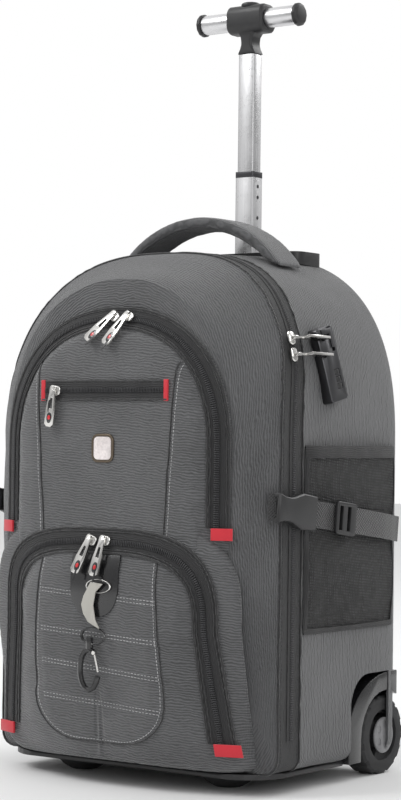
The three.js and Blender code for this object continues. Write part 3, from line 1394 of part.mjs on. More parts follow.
add('upper_slider_right', pocketSlider(upperBandEdges, UPPER_LEGS, UPPER_SLIDER_RIGHT_X, -0.35), STEEL, 0.2, 1);
add('upper_slider_left', pocketSlider(upperBandEdges, UPPER_LEGS, UPPER_SLIDER_LEFT_X, -0.8), STEEL, 0.2, 1);
add('lower_slider_right', pocketSlider(lowerBandEdges, LOWER_LEGS, LOWER_SLIDER_RIGHT_X, -0.1), STEEL, 0.2, 1);
add('lower_slider_left', pocketSlider(lowerBandEdges, LOWER_LEGS, LOWER_SLIDER_LEFT_X, -0.45), STEEL, 0.2, 1);
add('slim_slider', slimSlider(), STEEL, 0.2, 1);
add('main_slider_upper', mainSlider(mainSliderHeights[0]), STEEL, 0.2, 1);
add('main_slider_lower', mainSlider(mainSliderHeights[1]), STEEL, 0.2, 1);

add('lock_body', lockBody(), GUNMETAL, 0.35, 1);
dialHeights.forEach((_, k) => add(`lock_dial_${k + 1}`, lockDial(k), BLACK, 0.4));
add('lock_latch', lockLatch(), GUNMETAL, 0.35, 1);

add('wire_ring', wireRing(), STEEL, 0.2, 1);
add('hook_strap', hookStrap(), 0xa09e96, 0.8);
add('snap_hook', snapHook(), BLACK, 0.35);
add('hook_gate', hookGate(), STEEL, 0.25, 1);

addPair('shoulder_strap', shoulderStrap(1), BLACK, 0.85);

// The finished bag stands on z = 0 with its box centred over the origin.
const bounds = new THREE.Box3().setFromObject(bag);
const middle = bounds.getCenter(new THREE.Vector3());
bag.position.set(-middle.x, -middle.y, -bounds.min.z);

export default bag;
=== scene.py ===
"""Rolling backpack: the dressed visual model over its fixed frame.

Lengths in the tables are in millimetres. The back panel's outer face lies at depth 0 there, and
ROOM.shift moves every point into the frame's own metres.
"""

import logging
import math
from collections.abc import Callable, Iterator, Sequence
from contextlib import contextmanager
from dataclasses import dataclass
from enum import Enum

import bmesh
import bpy
import numpy as np
from mathutils import Matrix, Vector, noise
from mathutils.bvhtree import BVHTree


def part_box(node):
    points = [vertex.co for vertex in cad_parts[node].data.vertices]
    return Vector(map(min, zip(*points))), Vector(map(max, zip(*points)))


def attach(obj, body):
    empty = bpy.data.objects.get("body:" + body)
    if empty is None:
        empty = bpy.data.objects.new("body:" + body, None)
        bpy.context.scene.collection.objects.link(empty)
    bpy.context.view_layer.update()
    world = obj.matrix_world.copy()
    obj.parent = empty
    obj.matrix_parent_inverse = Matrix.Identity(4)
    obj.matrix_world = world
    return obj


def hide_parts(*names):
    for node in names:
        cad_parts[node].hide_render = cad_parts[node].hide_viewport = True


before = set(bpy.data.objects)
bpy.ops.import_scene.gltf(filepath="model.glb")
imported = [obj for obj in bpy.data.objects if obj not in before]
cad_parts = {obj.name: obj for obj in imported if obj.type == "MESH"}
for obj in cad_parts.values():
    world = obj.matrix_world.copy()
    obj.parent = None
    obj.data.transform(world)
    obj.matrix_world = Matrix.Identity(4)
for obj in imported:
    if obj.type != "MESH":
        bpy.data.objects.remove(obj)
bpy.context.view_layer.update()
LOG = logging.getLogger("rolling_backpack")

MM = 0.001
POLE_DEPTH = -31.8
CLOTH_UV = "cloth"


class Body(str, Enum):
    """Names of the rigid bodies that the pieces ride on."""

    BAG = "bag"
    LOWER_TUBE = "lower_tube_body"
    PULL_HANDLE = "pull_handle"
    BUTTON = "button"
    WHEEL_RIGHT = "wheel_right_body"
    WHEEL_LEFT = "wheel_left_body"
    LATCH = "latch"
    GATE = "gate"


class Slot(str, Enum):
    """Names of the record's material slots."""

    GREY_NYLON = "grey_nylon"
    BLACK_NYLON = "black_nylon"
    RED_CLOTH = "red_cloth"
    BLACK_MESH = "black_mesh"
    BLACK_WEBBING = "black_webbing"
    GREY_WEBBING = "grey_webbing"
    PADDED_CLOTH = "padded_cloth"
    BLACK_PLASTIC = "black_plastic"
    GLOSS_BLACK = "gloss_black"
    BADGE_FACE = "badge_face"
    GRIP = "grip"
    WHEEL = "wheel"
    CHROME = "chrome"
    TUBE = "tube"
    GUNMETAL = "gunmetal"


@dataclass(frozen=True)
class Room:
    """How the tables' millimetres lie in the frame's metres."""

    shift: float

    def at(self, x: float, y: float, z: float) -> Vector:
        """Place a point of the tables in the frame.

        Args:
            x: Distance to the right, in millimetres.
            y: Depth from the back panel's face, in millimetres.
            z: Height, in millimetres.

        Returns:
            The point in metres.
        """
        return Vector((x * MM, y * MM + self.shift, z * MM))

    def points(self, table: np.ndarray) -> np.ndarray:
        """Place a whole array of table points, whose last axis is x, y, z, in the frame."""
        placed = np.asarray(table, float) * MM
        placed[..., 1] += self.shift
        return placed


def depth_shift() -> float:
    """Read from the frame's upper tube how far the tables' depths are shifted, in metres."""
    low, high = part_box("upper_tube")
    return (low.y + high.y) / 2 - POLE_DEPTH * MM


ROOM = Room(depth_shift())


# Selecting, editing and finishing pieces


def deselect() -> None:
    """Clear the selection and make no object the active one."""
    bpy.ops.object.select_all(action="DESELECT")
    bpy.context.view_layer.objects.active = None


def activate(piece: bpy.types.Object) -> None:
    """Select one piece alone and make it the active object."""
    deselect()
    piece.select_set(True)
    bpy.context.view_layer.objects.active = piece


@contextmanager
def editing(piece: bpy.types.Object, mode: str = "FACE") -> Iterator[bmesh.types.BMesh]:
    """Open a piece in edit mode with nothing selected.

    Args:
        piece: The piece to edit.
        mode: Select mode: VERT, EDGE or FACE.

    Yields:
        The piece's edit mesh.
    """
    activate(piece)
    bpy.ops.object.mode_set(mode="EDIT")
    bpy.ops.mesh.select_mode(type=mode)
    bpy.ops.mesh.select_all(action="DESELECT")
    yield bmesh.from_edit_mesh(piece.data)
    bpy.ops.object.mode_set(mode="OBJECT")


def pick_edges(mesh: bmesh.types.BMesh, test: Callable[[Vector, Vector], bool]) -> int:
    """Select the edges whose two ends pass a test, and no others.

    Args:
        mesh: The edit mesh.
        test: Takes an edge's two ends.

    Returns:
        The number of edges selected.
    """
    bpy.ops.mesh.select_all(action="DESELECT")
    count = 0
    for edge in mesh.edges:
        if test(edge.verts[0].co, edge.verts[1].co):
            edge.select_set(True)
            count += 1
    return count


def block(name: str, size: Sequence[float], centre: Sequence[float] = (0, 0, 0)) -> bpy.types.Object:
    """Add a box primitive, sized and placed in edit mode, in millimetres.

    Args:
        name: The piece's name.
        size: Its three sizes.
        centre: Its centre.

    Returns:
        The new piece.
    """
    deselect()
    bpy.ops.mesh.primitive_cube_add(size=1)
    piece = bpy.context.object
    piece.name = name
    return stretched(piece, size, centre)


def disc(
    name: str, radius: float, length: float, sides: int = 32, centre: Sequence[float] = (0, 0, 0), axis: str = "Z"
) -> bpy.types.Object:
    """Add a cylinder primitive along an axis, sized and placed in edit mode, in millimetres.

    Args:
        name: The piece's name.
        radius: Its radius.
        length: Its length along the axis.
        sides: The number of its sides.
        centre: Its centre.
        axis: X, Y or Z.

    Returns:
        The new piece.
    """
    deselect()
    turn = {"X": (0, math.pi / 2, 0), "Y": (math.pi / 2, 0, 0), "Z": (0, 0, 0)}[axis]
    bpy.ops.mesh.primitive_cylinder_add(vertices=sides, radius=0.5, depth=1, rotation=turn)
    piece = bpy.context.object
    piece.name = name
    bpy.ops.object.transform_apply(location=True, rotation=True, scale=True)
    size = [2 * radius] * 3
    size["XYZ".index(axis)] = length
    return stretched(piece, size, centre)


def stretched(piece: bpy.types.Object, size: Sequence[float], centre: Sequence[float]) -> bpy.types.Object:
    """Scale a unit primitive to its size and move it to its place, both in edit mode.

    Args:
        piece: The primitive.
        size: Its three sizes in millimetres.
        centre: Its centre in millimetres.

    Returns:
        The same piece.
    """
    with editing(piece):
        bpy.ops.mesh.select_all(action="SELECT")
        bpy.ops.transform.resize(value=tuple(s * MM for s in size))
        bpy.ops.transform.translate(value=tuple(c * MM for c in centre))
    return piece


def apply_all(piece: bpy.types.Object) -> bpy.types.Object:
    """Apply each of a piece's modifiers in turn and return the piece.

    Args:
        piece: The piece whose modifiers are applied.

    Returns:
        The same piece.
    """
    activate(piece)
    for modifier in list(piece.modifiers):
        bpy.ops.object.modifier_apply(modifier=modifier.name)
    return piece


def bevelled(piece: bpy.types.Object, width: float, segments: int = 2, angle: float = 30) -> bpy.types.Object:
    """Round a piece's sharp edges with a bevel modifier and apply it.

    Args:
        piece: The piece.
        width: The bevel's width in millimetres.
        segments: The number of its segments.
        angle: The smallest angle, in degrees, that counts as sharp.

    Returns:
        The same piece.
    """
    bevel = piece.modifiers.new("rounded", "BEVEL")
    bevel.width = width * MM
    bevel.segments = segments
    bevel.limit_method = "ANGLE"
    bevel.angle_limit = math.radians(angle)
    bevel.harden_normals = False
    return apply_all(piece)


def smooth(piece: bpy.types.Object, angle: float = 35) -> bpy.types.Object:
    """Shade a piece smooth up to an angle in degrees and return it."""
    activate(piece)
    bpy.ops.object.shade_smooth_by_angle(angle=math.radians(angle))
    return piece


def carved(piece: bpy.types.Object, *tools: bpy.types.Object, keep: bool = False) -> bpy.types.Object:
    """Cut tools out of a piece with boolean modifiers, and remove the tools.

    Args:
        piece: The piece that is cut.
        tools: The shapes to take away.
        keep: Whether the tools are kept for a later cut.

    Returns:
        The same piece.
    """
    for tool in tools:
        cut = piece.modifiers.new("cut", "BOOLEAN")
        cut.object = tool
        cut.solver = "EXACT"
    apply_all(piece)
    if not keep:
        for tool in tools:
            bpy.data.objects.remove(tool, do_unlink=True)
    return piece


@dataclass(frozen=True)
class Seat:
    """A local frame: an origin in metres and three axes."""

    origin: Vector
    x_axis: Vector
    y_axis: Vector
    z_axis: Vector

    def matrix(self) -> Matrix:
        """Give the matrix that moves a piece from the world's axes onto this seat."""
        turn = Matrix((self.x_axis, self.y_axis, self.z_axis)).transposed().to_4x4()
        return Matrix.Translation(self.origin) @ turn

    def take(self, piece: bpy.types.Object) -> bpy.types.Object:
        """Move a piece's mesh onto this seat and return the piece."""
        piece.data.transform(self.matrix())
        piece.data.update()
        return piece


def refined(node: str, name: str, width: float, segments: int = 2, angle: float = 25) -> bpy.types.Object:
    """Copy a CAD node, merge its loose triangles, and round its edges.

    Args:
        node: The CAD node.
        name: The new piece's name.
        width: The bevel's width in millimetres.
        segments: The bevel's segments.
        angle: The smallest angle, in degrees, that is bevelled.

    Returns:
        The new piece, which replaces the node.
    """
    piece = bpy.data.objects.new(name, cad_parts[node].data.copy())
    bpy.context.scene.collection.objects.link(piece)
    piece.data.materials.clear()
    with editing(piece, "VERT"):
        bpy.ops.mesh.select_all(action="SELECT")
        bpy.ops.mesh.remove_doubles(threshold=0.00002)
        bpy.ops.mesh.dissolve_limited(angle_limit=math.radians(4))
    bevelled(piece, width, segments, angle)
    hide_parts(node)
    return smooth(piece, 40)


def finished(
    piece: bpy.types.Object, finish: bpy.types.Material, slot: Slot, body: str = Body.BAG
) -> bpy.types.Object:
    """Give a piece its finish, its record slot and the body it rides on.

    Args:
        piece: The finished piece.
        finish: Its material.
        slot: The record's slot for its finish, which is only named in the log.
        body: The body that carries it.

    Returns:
        The same piece.
    """
    piece.data.materials.clear()
    piece.data.materials.append(finish)
    rider = body.value if isinstance(body, Body) else body
    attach(piece, rider)
    LOG.info("%s: %d faces, %s, rides on %s", piece.name, len(piece.data.polygons), slot.value, rider)
    return piece


# Finishes


class Coords(Enum):
    """Where a finish reads its pattern's coordinates."""

    OBJECT = "Object"
    CLOTH = "UV"


@dataclass
class Graph:
    """A shader tree with short calls to add and join its nodes."""

    tree: bpy.types.NodeTree

    def add(self, kind: str, inputs: dict[int | str, object] | None = None, **settings: object) -> bpy.types.Node:
        """Add a node.

        Args:
            kind: The node's type, without its ShaderNode prefix.
            inputs: Values or sockets for its inputs, by name or number.
            settings: Values for its own properties.

        Returns:
            The new node.
        """
        node = self.tree.nodes.new("ShaderNode" + kind)
        for key, value in settings.items():
            setattr(node, key, value)
        for key, value in (inputs or {}).items():
            if isinstance(value, bpy.types.NodeSocket):
                self.tree.links.new(value, node.inputs[key])
            else:
                node.inputs[key].default_value = value
        return node

    def math(self, operation: str, a: object, b: object = 0.0, clamp: bool = False) -> bpy.types.NodeSocket:
        """Add a Math node and return its result."""
        return self.add("Math", {0: a, 1: b}, operation=operation, use_clamp=clamp).outputs[0]

    def ramp(self, value: bpy.types.NodeSocket, low: float, high: float) -> bpy.types.NodeSocket:
        """Map a value between two limits onto 0 to 1, with smooth ends."""
        node = self.add("MapRange", {0: value, 1: low, 2: high}, interpolation_type="SMOOTHSTEP")
        return node.outputs[0]

    def noise(self, place: object, scale: float, detail: float = 2, rough: float = 0.5) -> bpy.types.NodeSocket:
        """Add a noise texture and return its value."""
        node = self.add("TexNoise", {"Vector": place, "Scale": scale, "Detail": detail, "Roughness": rough})
        return node.outputs[0]

    def mixed(self, share: object, first: object, second: object) -> bpy.types.NodeSocket:
        """Mix two colours by a share and return the result."""
        node = self.add("Mix", {0: share, 6: first, 7: second}, data_type="RGBA")
        return node.outputs[2]

    def turned(self, place: object, scale: Sequence[float], angle: float = 0) -> bpy.types.NodeSocket:
        """Scale and turn a pattern's coordinates about Z."""
        node = self.add("Mapping", {"Vector": place, "Scale": tuple(scale), "Rotation": (0, 0, math.radians(angle))})
        return node.outputs[0]


def new_group(name: str, inputs: dict[str, object], outputs: dict[str, str]) -> tuple[bpy.types.NodeTree, Graph]:
    """Make a shader node group with named sockets.

    Args:
        name: The group's name.
        inputs: Each input's default value; a tuple of three makes a vector socket.
        outputs: Each output's socket type.

    Returns:
        The group and a graph to fill it with.
    """
    tree = bpy.data.node_groups.new(name, "ShaderNodeTree")
    for key, value in inputs.items():
        kind = "NodeSocketVector" if isinstance(value, tuple) else "NodeSocketFloat"
        socket = tree.interface.new_socket(name=key, in_out="INPUT", socket_type=kind)
        socket.default_value = value
    for key, kind in outputs.items():
        tree.interface.new_socket(name=key, in_out="OUTPUT", socket_type=kind)
    return tree, Graph(tree)


def weave_group() -> bpy.types.NodeTree:
    """Make the ribbed weave: ribs along the first axis, crossed by finer threads, with uneven yarn.

    Returns:
        The node group.
    """
    tree, graph = new_group(
        "ribbed weave", {"Place": (0.0, 0.0, 0.0), "Ribs": 600.0, "Threads": 1400.0, "Cross": 0.4},
        {"Height": "NodeSocketFloat", "Shade": "NodeSocketFloat"},
    )
    entry = tree.nodes.new("NodeGroupInput")
    leave = tree.nodes.new("NodeGroupOutput")
    parts = graph.add("SeparateXYZ", {0: entry.outputs["Place"]})
    drift = graph.noise(entry.outputs["Place"], 90, 2)
    wander = graph.math("MULTIPLY", graph.math("SUBTRACT", drift, 0.5), 2.2)
    rib = graph.math("ADD", graph.math("MULTIPLY", parts.outputs[1], entry.outputs["Ribs"]), wander)
    rib = graph.math("MULTIPLY", graph.math("SINE", graph.math("MULTIPLY", rib, 2 * math.pi)), 0.5)
    rib = graph.math("ADD", rib, 0.5)
    thread = graph.math("MULTIPLY", parts.outputs[0], entry.outputs["Threads"])
    thread = graph.math("MULTIPLY", graph.math("SINE", graph.math("MULTIPLY", thread, 2 * math.pi)), 0.5)
    thread = graph.math("ADD", thread, 0.5)
    cross = graph.math("MULTIPLY", thread, entry.outputs["Cross"])
    height = graph.math("ADD", rib, cross)
    yarn = graph.noise(graph.turned(entry.outputs["Place"], (160, 900, 160)), 1, 2)
    shade = graph.math("ADD", graph.math("MULTIPLY", height, 0.55), graph.math("MULTIPLY", yarn, 0.45))
    tree.links.new(height, leave.inputs["Height"])
    tree.links.new(shade, leave.inputs["Shade"])
    return tree


def mottle_group() -> bpy.types.NodeTree:
    """Make a soft uneven mask: broad patches with fine specks on them.

    Returns:
        The node group.
    """
    tree, graph = new_group(
        "mottle", {"Place": (0.0, 0.0, 0.0), "Patch": 12.0, "Speck": 260.0}, {"Mask": "NodeSocketFloat"}
    )
    entry = tree.nodes.new("NodeGroupInput")
    leave = tree.nodes.new("NodeGroupOutput")
    patch = graph.add("TexNoise", {"Vector": entry.outputs["Place"], "Scale": entry.outputs["Patch"], "Detail": 3.0})
    speck = graph.add("TexNoise", {"Vector": entry.outputs["Place"], "Scale": entry.outputs["Speck"], "Detail": 2.0})
    broad = graph.math("MULTIPLY", patch.outputs[0], 0.7)
    mask = graph.math("ADD", broad, graph.math("MULTIPLY", speck.outputs[0], 0.3))
    tree.links.new(graph.ramp(mask, 0.34, 0.66), leave.inputs["Mask"])
    return tree


def edge_wear_and_highlight_group() -> bpy.types.NodeTree:
    """Make a mask of sharp edges, broken up by noise, for scuffing and a painted edge highlight.

    Returns:
        The node group.
    """
    tree, graph = new_group("edge wear and painted highlight", {"Place": (0.0, 0.0, 0.0), "Reach": 0.52}, {"Mask": "NodeSocketFloat"})
    entry = tree.nodes.new("NodeGroupInput")
    leave = tree.nodes.new("NodeGroupOutput")
    shape = graph.add("NewGeometry")
    high = graph.math("ADD", entry.outputs["Reach"], 0.06)
    worn_lit_edge = graph.add(
        "MapRange", {0: shape.outputs["Pointiness"], 1: entry.outputs["Reach"], 2: high}
    ).outputs[0]
    broken = graph.ramp(graph.noise(entry.outputs["Place"], 140, 3), 0.35, 0.7)
    tree.links.new(graph.math("MULTIPLY", worn_lit_edge, broken), leave.inputs["Mask"])
    return tree


@dataclass
class Finish:
    """What every finish shares: its name, colours in linear light, and where its pattern lies."""

    name: str
    colour: tuple[float, float, float]
    rough: float = 0.6
    coords: Coords = Coords.OBJECT

    def start(self) -> tuple[bpy.types.Material, Graph, bpy.types.Node, bpy.types.NodeSocket]:
        """Make the material with its shader.

        Returns:
            The material, its graph, its Principled BSDF and the pattern's coordinates.
        """
        material = bpy.data.materials.new(self.name)
        material.use_nodes = True
        graph = Graph(material.node_tree)
        shader = material.node_tree.nodes["Principled BSDF"]
        shader.inputs["Base Color"].default_value = (*self.colour, 1)
        shader.inputs["Roughness"].default_value = self.rough
        if self.coords is Coords.CLOTH:
            place = graph.add("UVMap", uv_map=CLOTH_UV).outputs["UV"]
        else:
            place = graph.add("TexCoord").outputs["Object"]
        return material, graph, shader, place

    @staticmethod
    def placed(graph: Graph, tree: bpy.types.NodeTree, inputs: dict[str, object]) -> bpy.types.Node:
        """Place a node group and set its inputs.

        Args:
            graph: The material's graph.
            tree: The node group.
            inputs: Values or sockets by input name.

        Returns:
            The group's node.
        """
        node = graph.tree.nodes.new("ShaderNodeGroup")
        node.node_tree = tree
        for key, value in inputs.items():
            if isinstance(value, bpy.types.NodeSocket):
                graph.tree.links.new(value, node.inputs[key])
            else:
                node.inputs[key].default_value = value
        return node

    @staticmethod
    def bumped(
        graph: Graph, shader: bpy.types.Node, height: bpy.types.NodeSocket, depth: float, strength: float
    ) -> None:
        """Feed a height into the shader's normal, its depth in metres."""
        bump = graph.add("Bump", {"Strength": strength, "Distance": depth, "Height": height})
        graph.tree.links.new(bump.outputs[0], shader.inputs["Normal"])

    def blended(self, factor: float) -> tuple[float, float, float, float]:
        """Give the colour made lighter or darker by a factor."""
        return (*[min(1.0, c * factor) for c in self.colour], 1.0)

    def shared(self, effect: "Effects") -> bpy.types.NodeTree:
        """Give the one node group of a shared effect, made when it is first asked for."""
        if effect.value not in bpy.data.node_groups:
            effect.maker()
        return bpy.data.node_groups[effect.value]


class Effects(Enum):
    """The shared effects, by the names of their node groups."""

    WEAVE = "ribbed weave"
    MOTTLE = "mottle"
    # Lightens sharp edges of plastics: partly scuffing, partly a painted edge highlight.
    WORN_EDGES = "edge wear and painted highlight"

    def maker(self) -> bpy.types.NodeTree:
        """Build this effect's node group."""
        return {"WEAVE": weave_group, "MOTTLE": mottle_group, "WORN_EDGES": edge_wear_and_highlight_group}[self.name]()


@dataclass
class WovenFinish(Finish):
    """Cloth with ribs, finer cross threads and uneven yarn."""

    ribs: float = 560.0
    threads: float = 1300.0
    cross: float = 0.35
    lean: float = 0.0
    contrast: float = 0.45
    depth: float = 0.0005
    sheen: float = 0.3
    coords: Coords = Coords.CLOTH

    def build(self) -> bpy.types.Material:
        """Build the material.

        Returns:
            The material.
        """
        material, graph, shader, place = self.start()
        place = graph.turned(place, (1, 1, 1), self.lean)
        weave = self.placed(graph, self.shared(Effects.WEAVE), {
            "Place": place, "Ribs": self.ribs, "Threads": self.threads, "Cross": self.cross,
        })
        mottle = self.placed(graph, self.shared(Effects.MOTTLE), {"Place": place})
        shade = graph.math("ADD", graph.math("MULTIPLY", weave.outputs["Shade"], 0.8),
                           graph.math("MULTIPLY", mottle.outputs[0], 0.2))
        colour = graph.mixed(graph.ramp(shade, 0.1, 0.95), self.blended(1 - self.contrast),
                             self.blended(1 + self.contrast))
        graph.tree.links.new(colour, shader.inputs["Base Color"])
        rough = graph.math("ADD", graph.math("MULTIPLY", mottle.outputs[0], 0.12), self.rough - 0.06)
        graph.tree.links.new(rough, shader.inputs["Roughness"])
        shader.inputs["Sheen Weight"].default_value = self.sheen
        shader.inputs["Sheen Roughness"].default_value = 0.45
        self.bumped(graph, shader, weave.outputs["Height"], self.depth, 0.8)
        return material


@dataclass
class WebbingFinish(WovenFinish):
    """Ribbed webbing with a darker edge along both sides."""

    edge: tuple[float, float, float] = (0.012, 0.012, 0.013)
    half: float = 0.0125
    border: float = 0.0022

    def build(self) -> bpy.types.Material:
        """Build the material on the woven one, and darken its borders.

        Returns:
            The material.
        """
        material = super().build()
        graph = Graph(material.node_tree)
        shader = material.node_tree.nodes["Principled BSDF"]
        body = shader.inputs["Base Color"].links[0].from_socket
        parts = graph.add("SeparateXYZ", {0: graph.add("UVMap", uv_map=CLOTH_UV).outputs["UV"]})
        across = graph.math("ABSOLUTE", parts.outputs[1])
        mask = graph.ramp(across, self.half - self.border - 0.0002, self.half - self.border + 0.0002)
        graph.tree.links.new(graph.mixed(mask, body, (*self.edge, 1)), shader.inputs["Base Color"])
        return material


@dataclass
class NetFinish(Finish):
    """An open net whose holes lie in slanted rows."""

    pitch: float = 0.0034
    open_share: float = 1.05
    coords: Coords = Coords.CLOTH

    def build(self) -> bpy.types.Material:
        """Build the material, with its holes in the alpha.

        Returns:
            The material.
        """
        material, graph, shader, place = self.start()
        parts = graph.add("SeparateXYZ", {0: place})
        turn = 2 * math.pi / self.pitch
        along = graph.math("COSINE", graph.math("MULTIPLY", parts.outputs[0], turn))
        across = graph.math("COSINE", graph.math("MULTIPLY", parts.outputs[1], turn * 0.8))
        wave = graph.math("ABSOLUTE", graph.math("ADD", along, across))
        hole = graph.ramp(wave, self.open_share - 0.12, self.open_share + 0.12)
        alpha = graph.math("SUBTRACT", 1.0, hole)
        graph.tree.links.new(alpha, shader.inputs["Alpha"])
        strand = graph.noise(place, 1500, 2)
        graph.tree.links.new(
            graph.mixed(strand, self.blended(0.6), self.blended(1.6)), shader.inputs["Base Color"])
        self.bumped(graph, shader, wave, 0.0006, 0.9)
        return material


@dataclass
class PlasticFinish(Finish):
    """Moulded plastic or rubber with a fine grain, and sharp edges lightened partly by scuffing, partly as a painted
    edge highlight.
    """

    grain: float = 1800.0
    depth: float = 0.00012
    # Share of the edge lightening, which is partly scuffing and partly a painted edge highlight.
    edge_wear_highlight_share: float = 0.25
    coat: float = 0.0

    def build(self) -> bpy.types.Material:
        """Build the material.

        Returns:
            The material.
        """
        material, graph, shader, place = self.start()
        mottle = self.placed(graph, self.shared(Effects.MOTTLE), {"Place": place, "Patch": 30.0, "Speck": 420.0})
        edge_wear_and_highlight = self.placed(graph, self.shared(Effects.WORN_EDGES), {"Place": place})
        base = graph.mixed(mottle.outputs[0], self.blended(0.8), self.blended(1.25))
        # Sharp edges are lightened in the colour: partly scuffing, partly a painted edge highlight.
        share = graph.math("MULTIPLY", edge_wear_and_highlight.outputs[0], self.edge_wear_highlight_share)
        worn_lit_edge = (*[min(1.0, c * 2.2 + 0.05) for c in self.colour], 1.0)
        graph.tree.links.new(graph.mixed(share, base, worn_lit_edge), shader.inputs["Base Color"])
        rough = graph.math("ADD", graph.math("MULTIPLY", mottle.outputs[0], 0.14), self.rough - 0.07)
        graph.tree.links.new(rough, shader.inputs["Roughness"])
        shader.inputs["Coat Weight"].default_value = self.coat
        shader.inputs["Coat Roughness"].default_value = 0.12
        grain = graph.noise(place, self.grain, 2, 0.6)
        self.bumped(graph, shader, grain, self.depth, 0.5)
        return material


@dataclass
class MetalFinish(Finish):
    """Metal with fine brush lines and small marks."""

    brush: tuple[float, float, float] = (900.0, 900.0, 60.0)
    depth: float = 0.00006

    def build(self) -> bpy.types.Material:
        """Build the material.

        Returns:
            The material.
        """
        material, graph, shader, place = self.start()
        shader.inputs["Metallic"].default_value = 1.0
        lines = graph.noise(graph.turned(place, self.brush), 1, 3, 0.6)
        mottle = self.placed(graph, self.shared(Effects.MOTTLE), {"Place": place, "Patch": 40.0, "Speck": 300.0})
        tone = graph.mixed(lines, self.blended(0.82), self.blended(1.1))
        graph.tree.links.new(tone, shader.inputs["Base Color"])
        uneven = graph.math("ADD", graph.math("MULTIPLY", lines, 0.12), graph.math("MULTIPLY", mottle.outputs[0], 0.08))
        graph.tree.links.new(graph.math("ADD", uneven, self.rough - 0.1), shader.inputs["Roughness"])
        self.bumped(graph, shader, lines, self.depth, 0.4)
        return material


@dataclass
class Wardrobe:
    """All the finishes, built once."""

    def __post_init__(self) -> None:
        """Build each finish as an attribute."""
        grey = (0.074, 0.075, 0.078)
        self.nylon = WovenFinish("grey ribbed nylon", grey, 0.6, ribs=400, contrast=0.62, depth=0.0007).build()
        self.nylon_face = WovenFinish(
            "grey ribbed nylon, panels", grey, 0.58, ribs=400, lean=4, contrast=0.62, depth=0.0007).build()
        self.black_cloth = WovenFinish("black nylon", (0.014, 0.014, 0.015), 0.66, contrast=0.4, sheen=0.12).build()
        self.tape = WovenFinish(
            "zip tape", (0.013, 0.013, 0.014), 0.7, ribs=900, threads=900, contrast=0.35, sheen=0.1).build()
        self.red = WovenFinish("red binding", (0.5, 0.012, 0.025), 0.6, ribs=900, threads=900).build()
        self.dark_piping = WovenFinish(
            "dark piping", (0.012, 0.012, 0.013), 0.45, Coords.OBJECT, ribs=900, threads=900, contrast=0.3).build()
        self.thread = PlasticFinish("light thread", (0.42, 0.42, 0.425), 0.55, edge_wear_highlight_share=0.0).build()
        self.dark_thread = PlasticFinish("dark thread", (0.05, 0.05, 0.052), 0.55, edge_wear_highlight_share=0.0).build()
        self.coil = PlasticFinish("zip coil", (0.022, 0.022, 0.024), 0.4, edge_wear_highlight_share=0.1).build()
        self.net = NetFinish("black net", (0.012, 0.012, 0.012), 0.6).build()
        self.webbing = WovenFinish(
            "black webbing", (0.02, 0.02, 0.021), 0.6, ribs=420, threads=500, cross=0.9, lean=45).build()
        self.light_webbing = WebbingFinish(
            "grey webbing", (0.36, 0.35, 0.32), 0.6, ribs=500, threads=700, cross=0.6).build()
        self.pad = WovenFinish(
            "padded cloth", (0.015, 0.015, 0.016), 0.7, Coords.OBJECT, ribs=500, threads=500, cross=0.9).build()
        self.grey_pad = WovenFinish(
            "grey padded cloth", grey, 0.62, Coords.OBJECT, ribs=560, threads=1300).build()
        self.plastic = PlasticFinish("black plastic", (0.016, 0.016, 0.017), 0.42).build()
        self.gloss = PlasticFinish(
            "glossy black", (0.01, 0.01, 0.011), 0.22, grain=300, depth=0.00003, edge_wear_highlight_share=0.1, coat=0.6).build()
        self.rubber = PlasticFinish("black rubber", (0.02, 0.02, 0.021), 0.68, grain=900, depth=0.0002).build()
        self.badge = PlasticFinish("pale badge", (0.74, 0.68, 0.67), 0.35, grain=260, depth=0.0001, coat=0.3).build()
        self.bronze = MetalFinish("dark bronze", (0.16, 0.13, 0.1), 0.4).build()
        self.chrome = MetalFinish("bright metal", (0.7, 0.69, 0.67), 0.16).build()
        self.aluminium = MetalFinish("drawn aluminium", (0.7, 0.7, 0.71), 0.3, brush=(1500.0, 1500.0, 12.0)).build()
        self.gunmetal = MetalFinish("gunmetal", (0.09, 0.09, 0.095), 0.34).build()
        self.hub = PlasticFinish("grey hub", (0.16, 0.16, 0.165), 0.4, coat=0.2).build()
        self.red_enamel = PlasticFinish("red enamel", (0.55, 0.015, 0.02), 0.25, coat=0.5, edge_wear_highlight_share=0.05).build()


# Arched sections and the cloth lofted through them

BAG_TOP, BAG_FOOT, BAG_HALF, SHOULDER = 510.0, 20.0, 164.0, 320.0
CORNER, POCKET_CORNER, TUCK_TOP = 14.0, 6.0, 200.0
CROWN_RISE = BAG_TOP - SHOULDER
REAR_LANE, FRONT_LANE, FRONT_FACE, FRONT_DEPTH = -176.5, -211.5, -243.5, 32.0
UPPER_HALF, UPPER_TOP, UPPER_FOOT, UPPER_SHOULDER = 130.0, 446.0, 220.9, 316.0
UPPER_BAND, UPPER_BULGE = 18.0, 20.0
LOWER_HALF, LOWER_TOP, LOWER_FOOT, LOWER_SHOULDER = 143.0, 250.0, 20.9, 150.0
LOWER_BAND, LOWER_BULGE = 22.0, 31.0
SLIM_ZIP_HEIGHT = 369.0
LOCK_DEPTH, LOCK_HEIGHT, LOCK_HOLD = -190.0, 405.0, 4.4


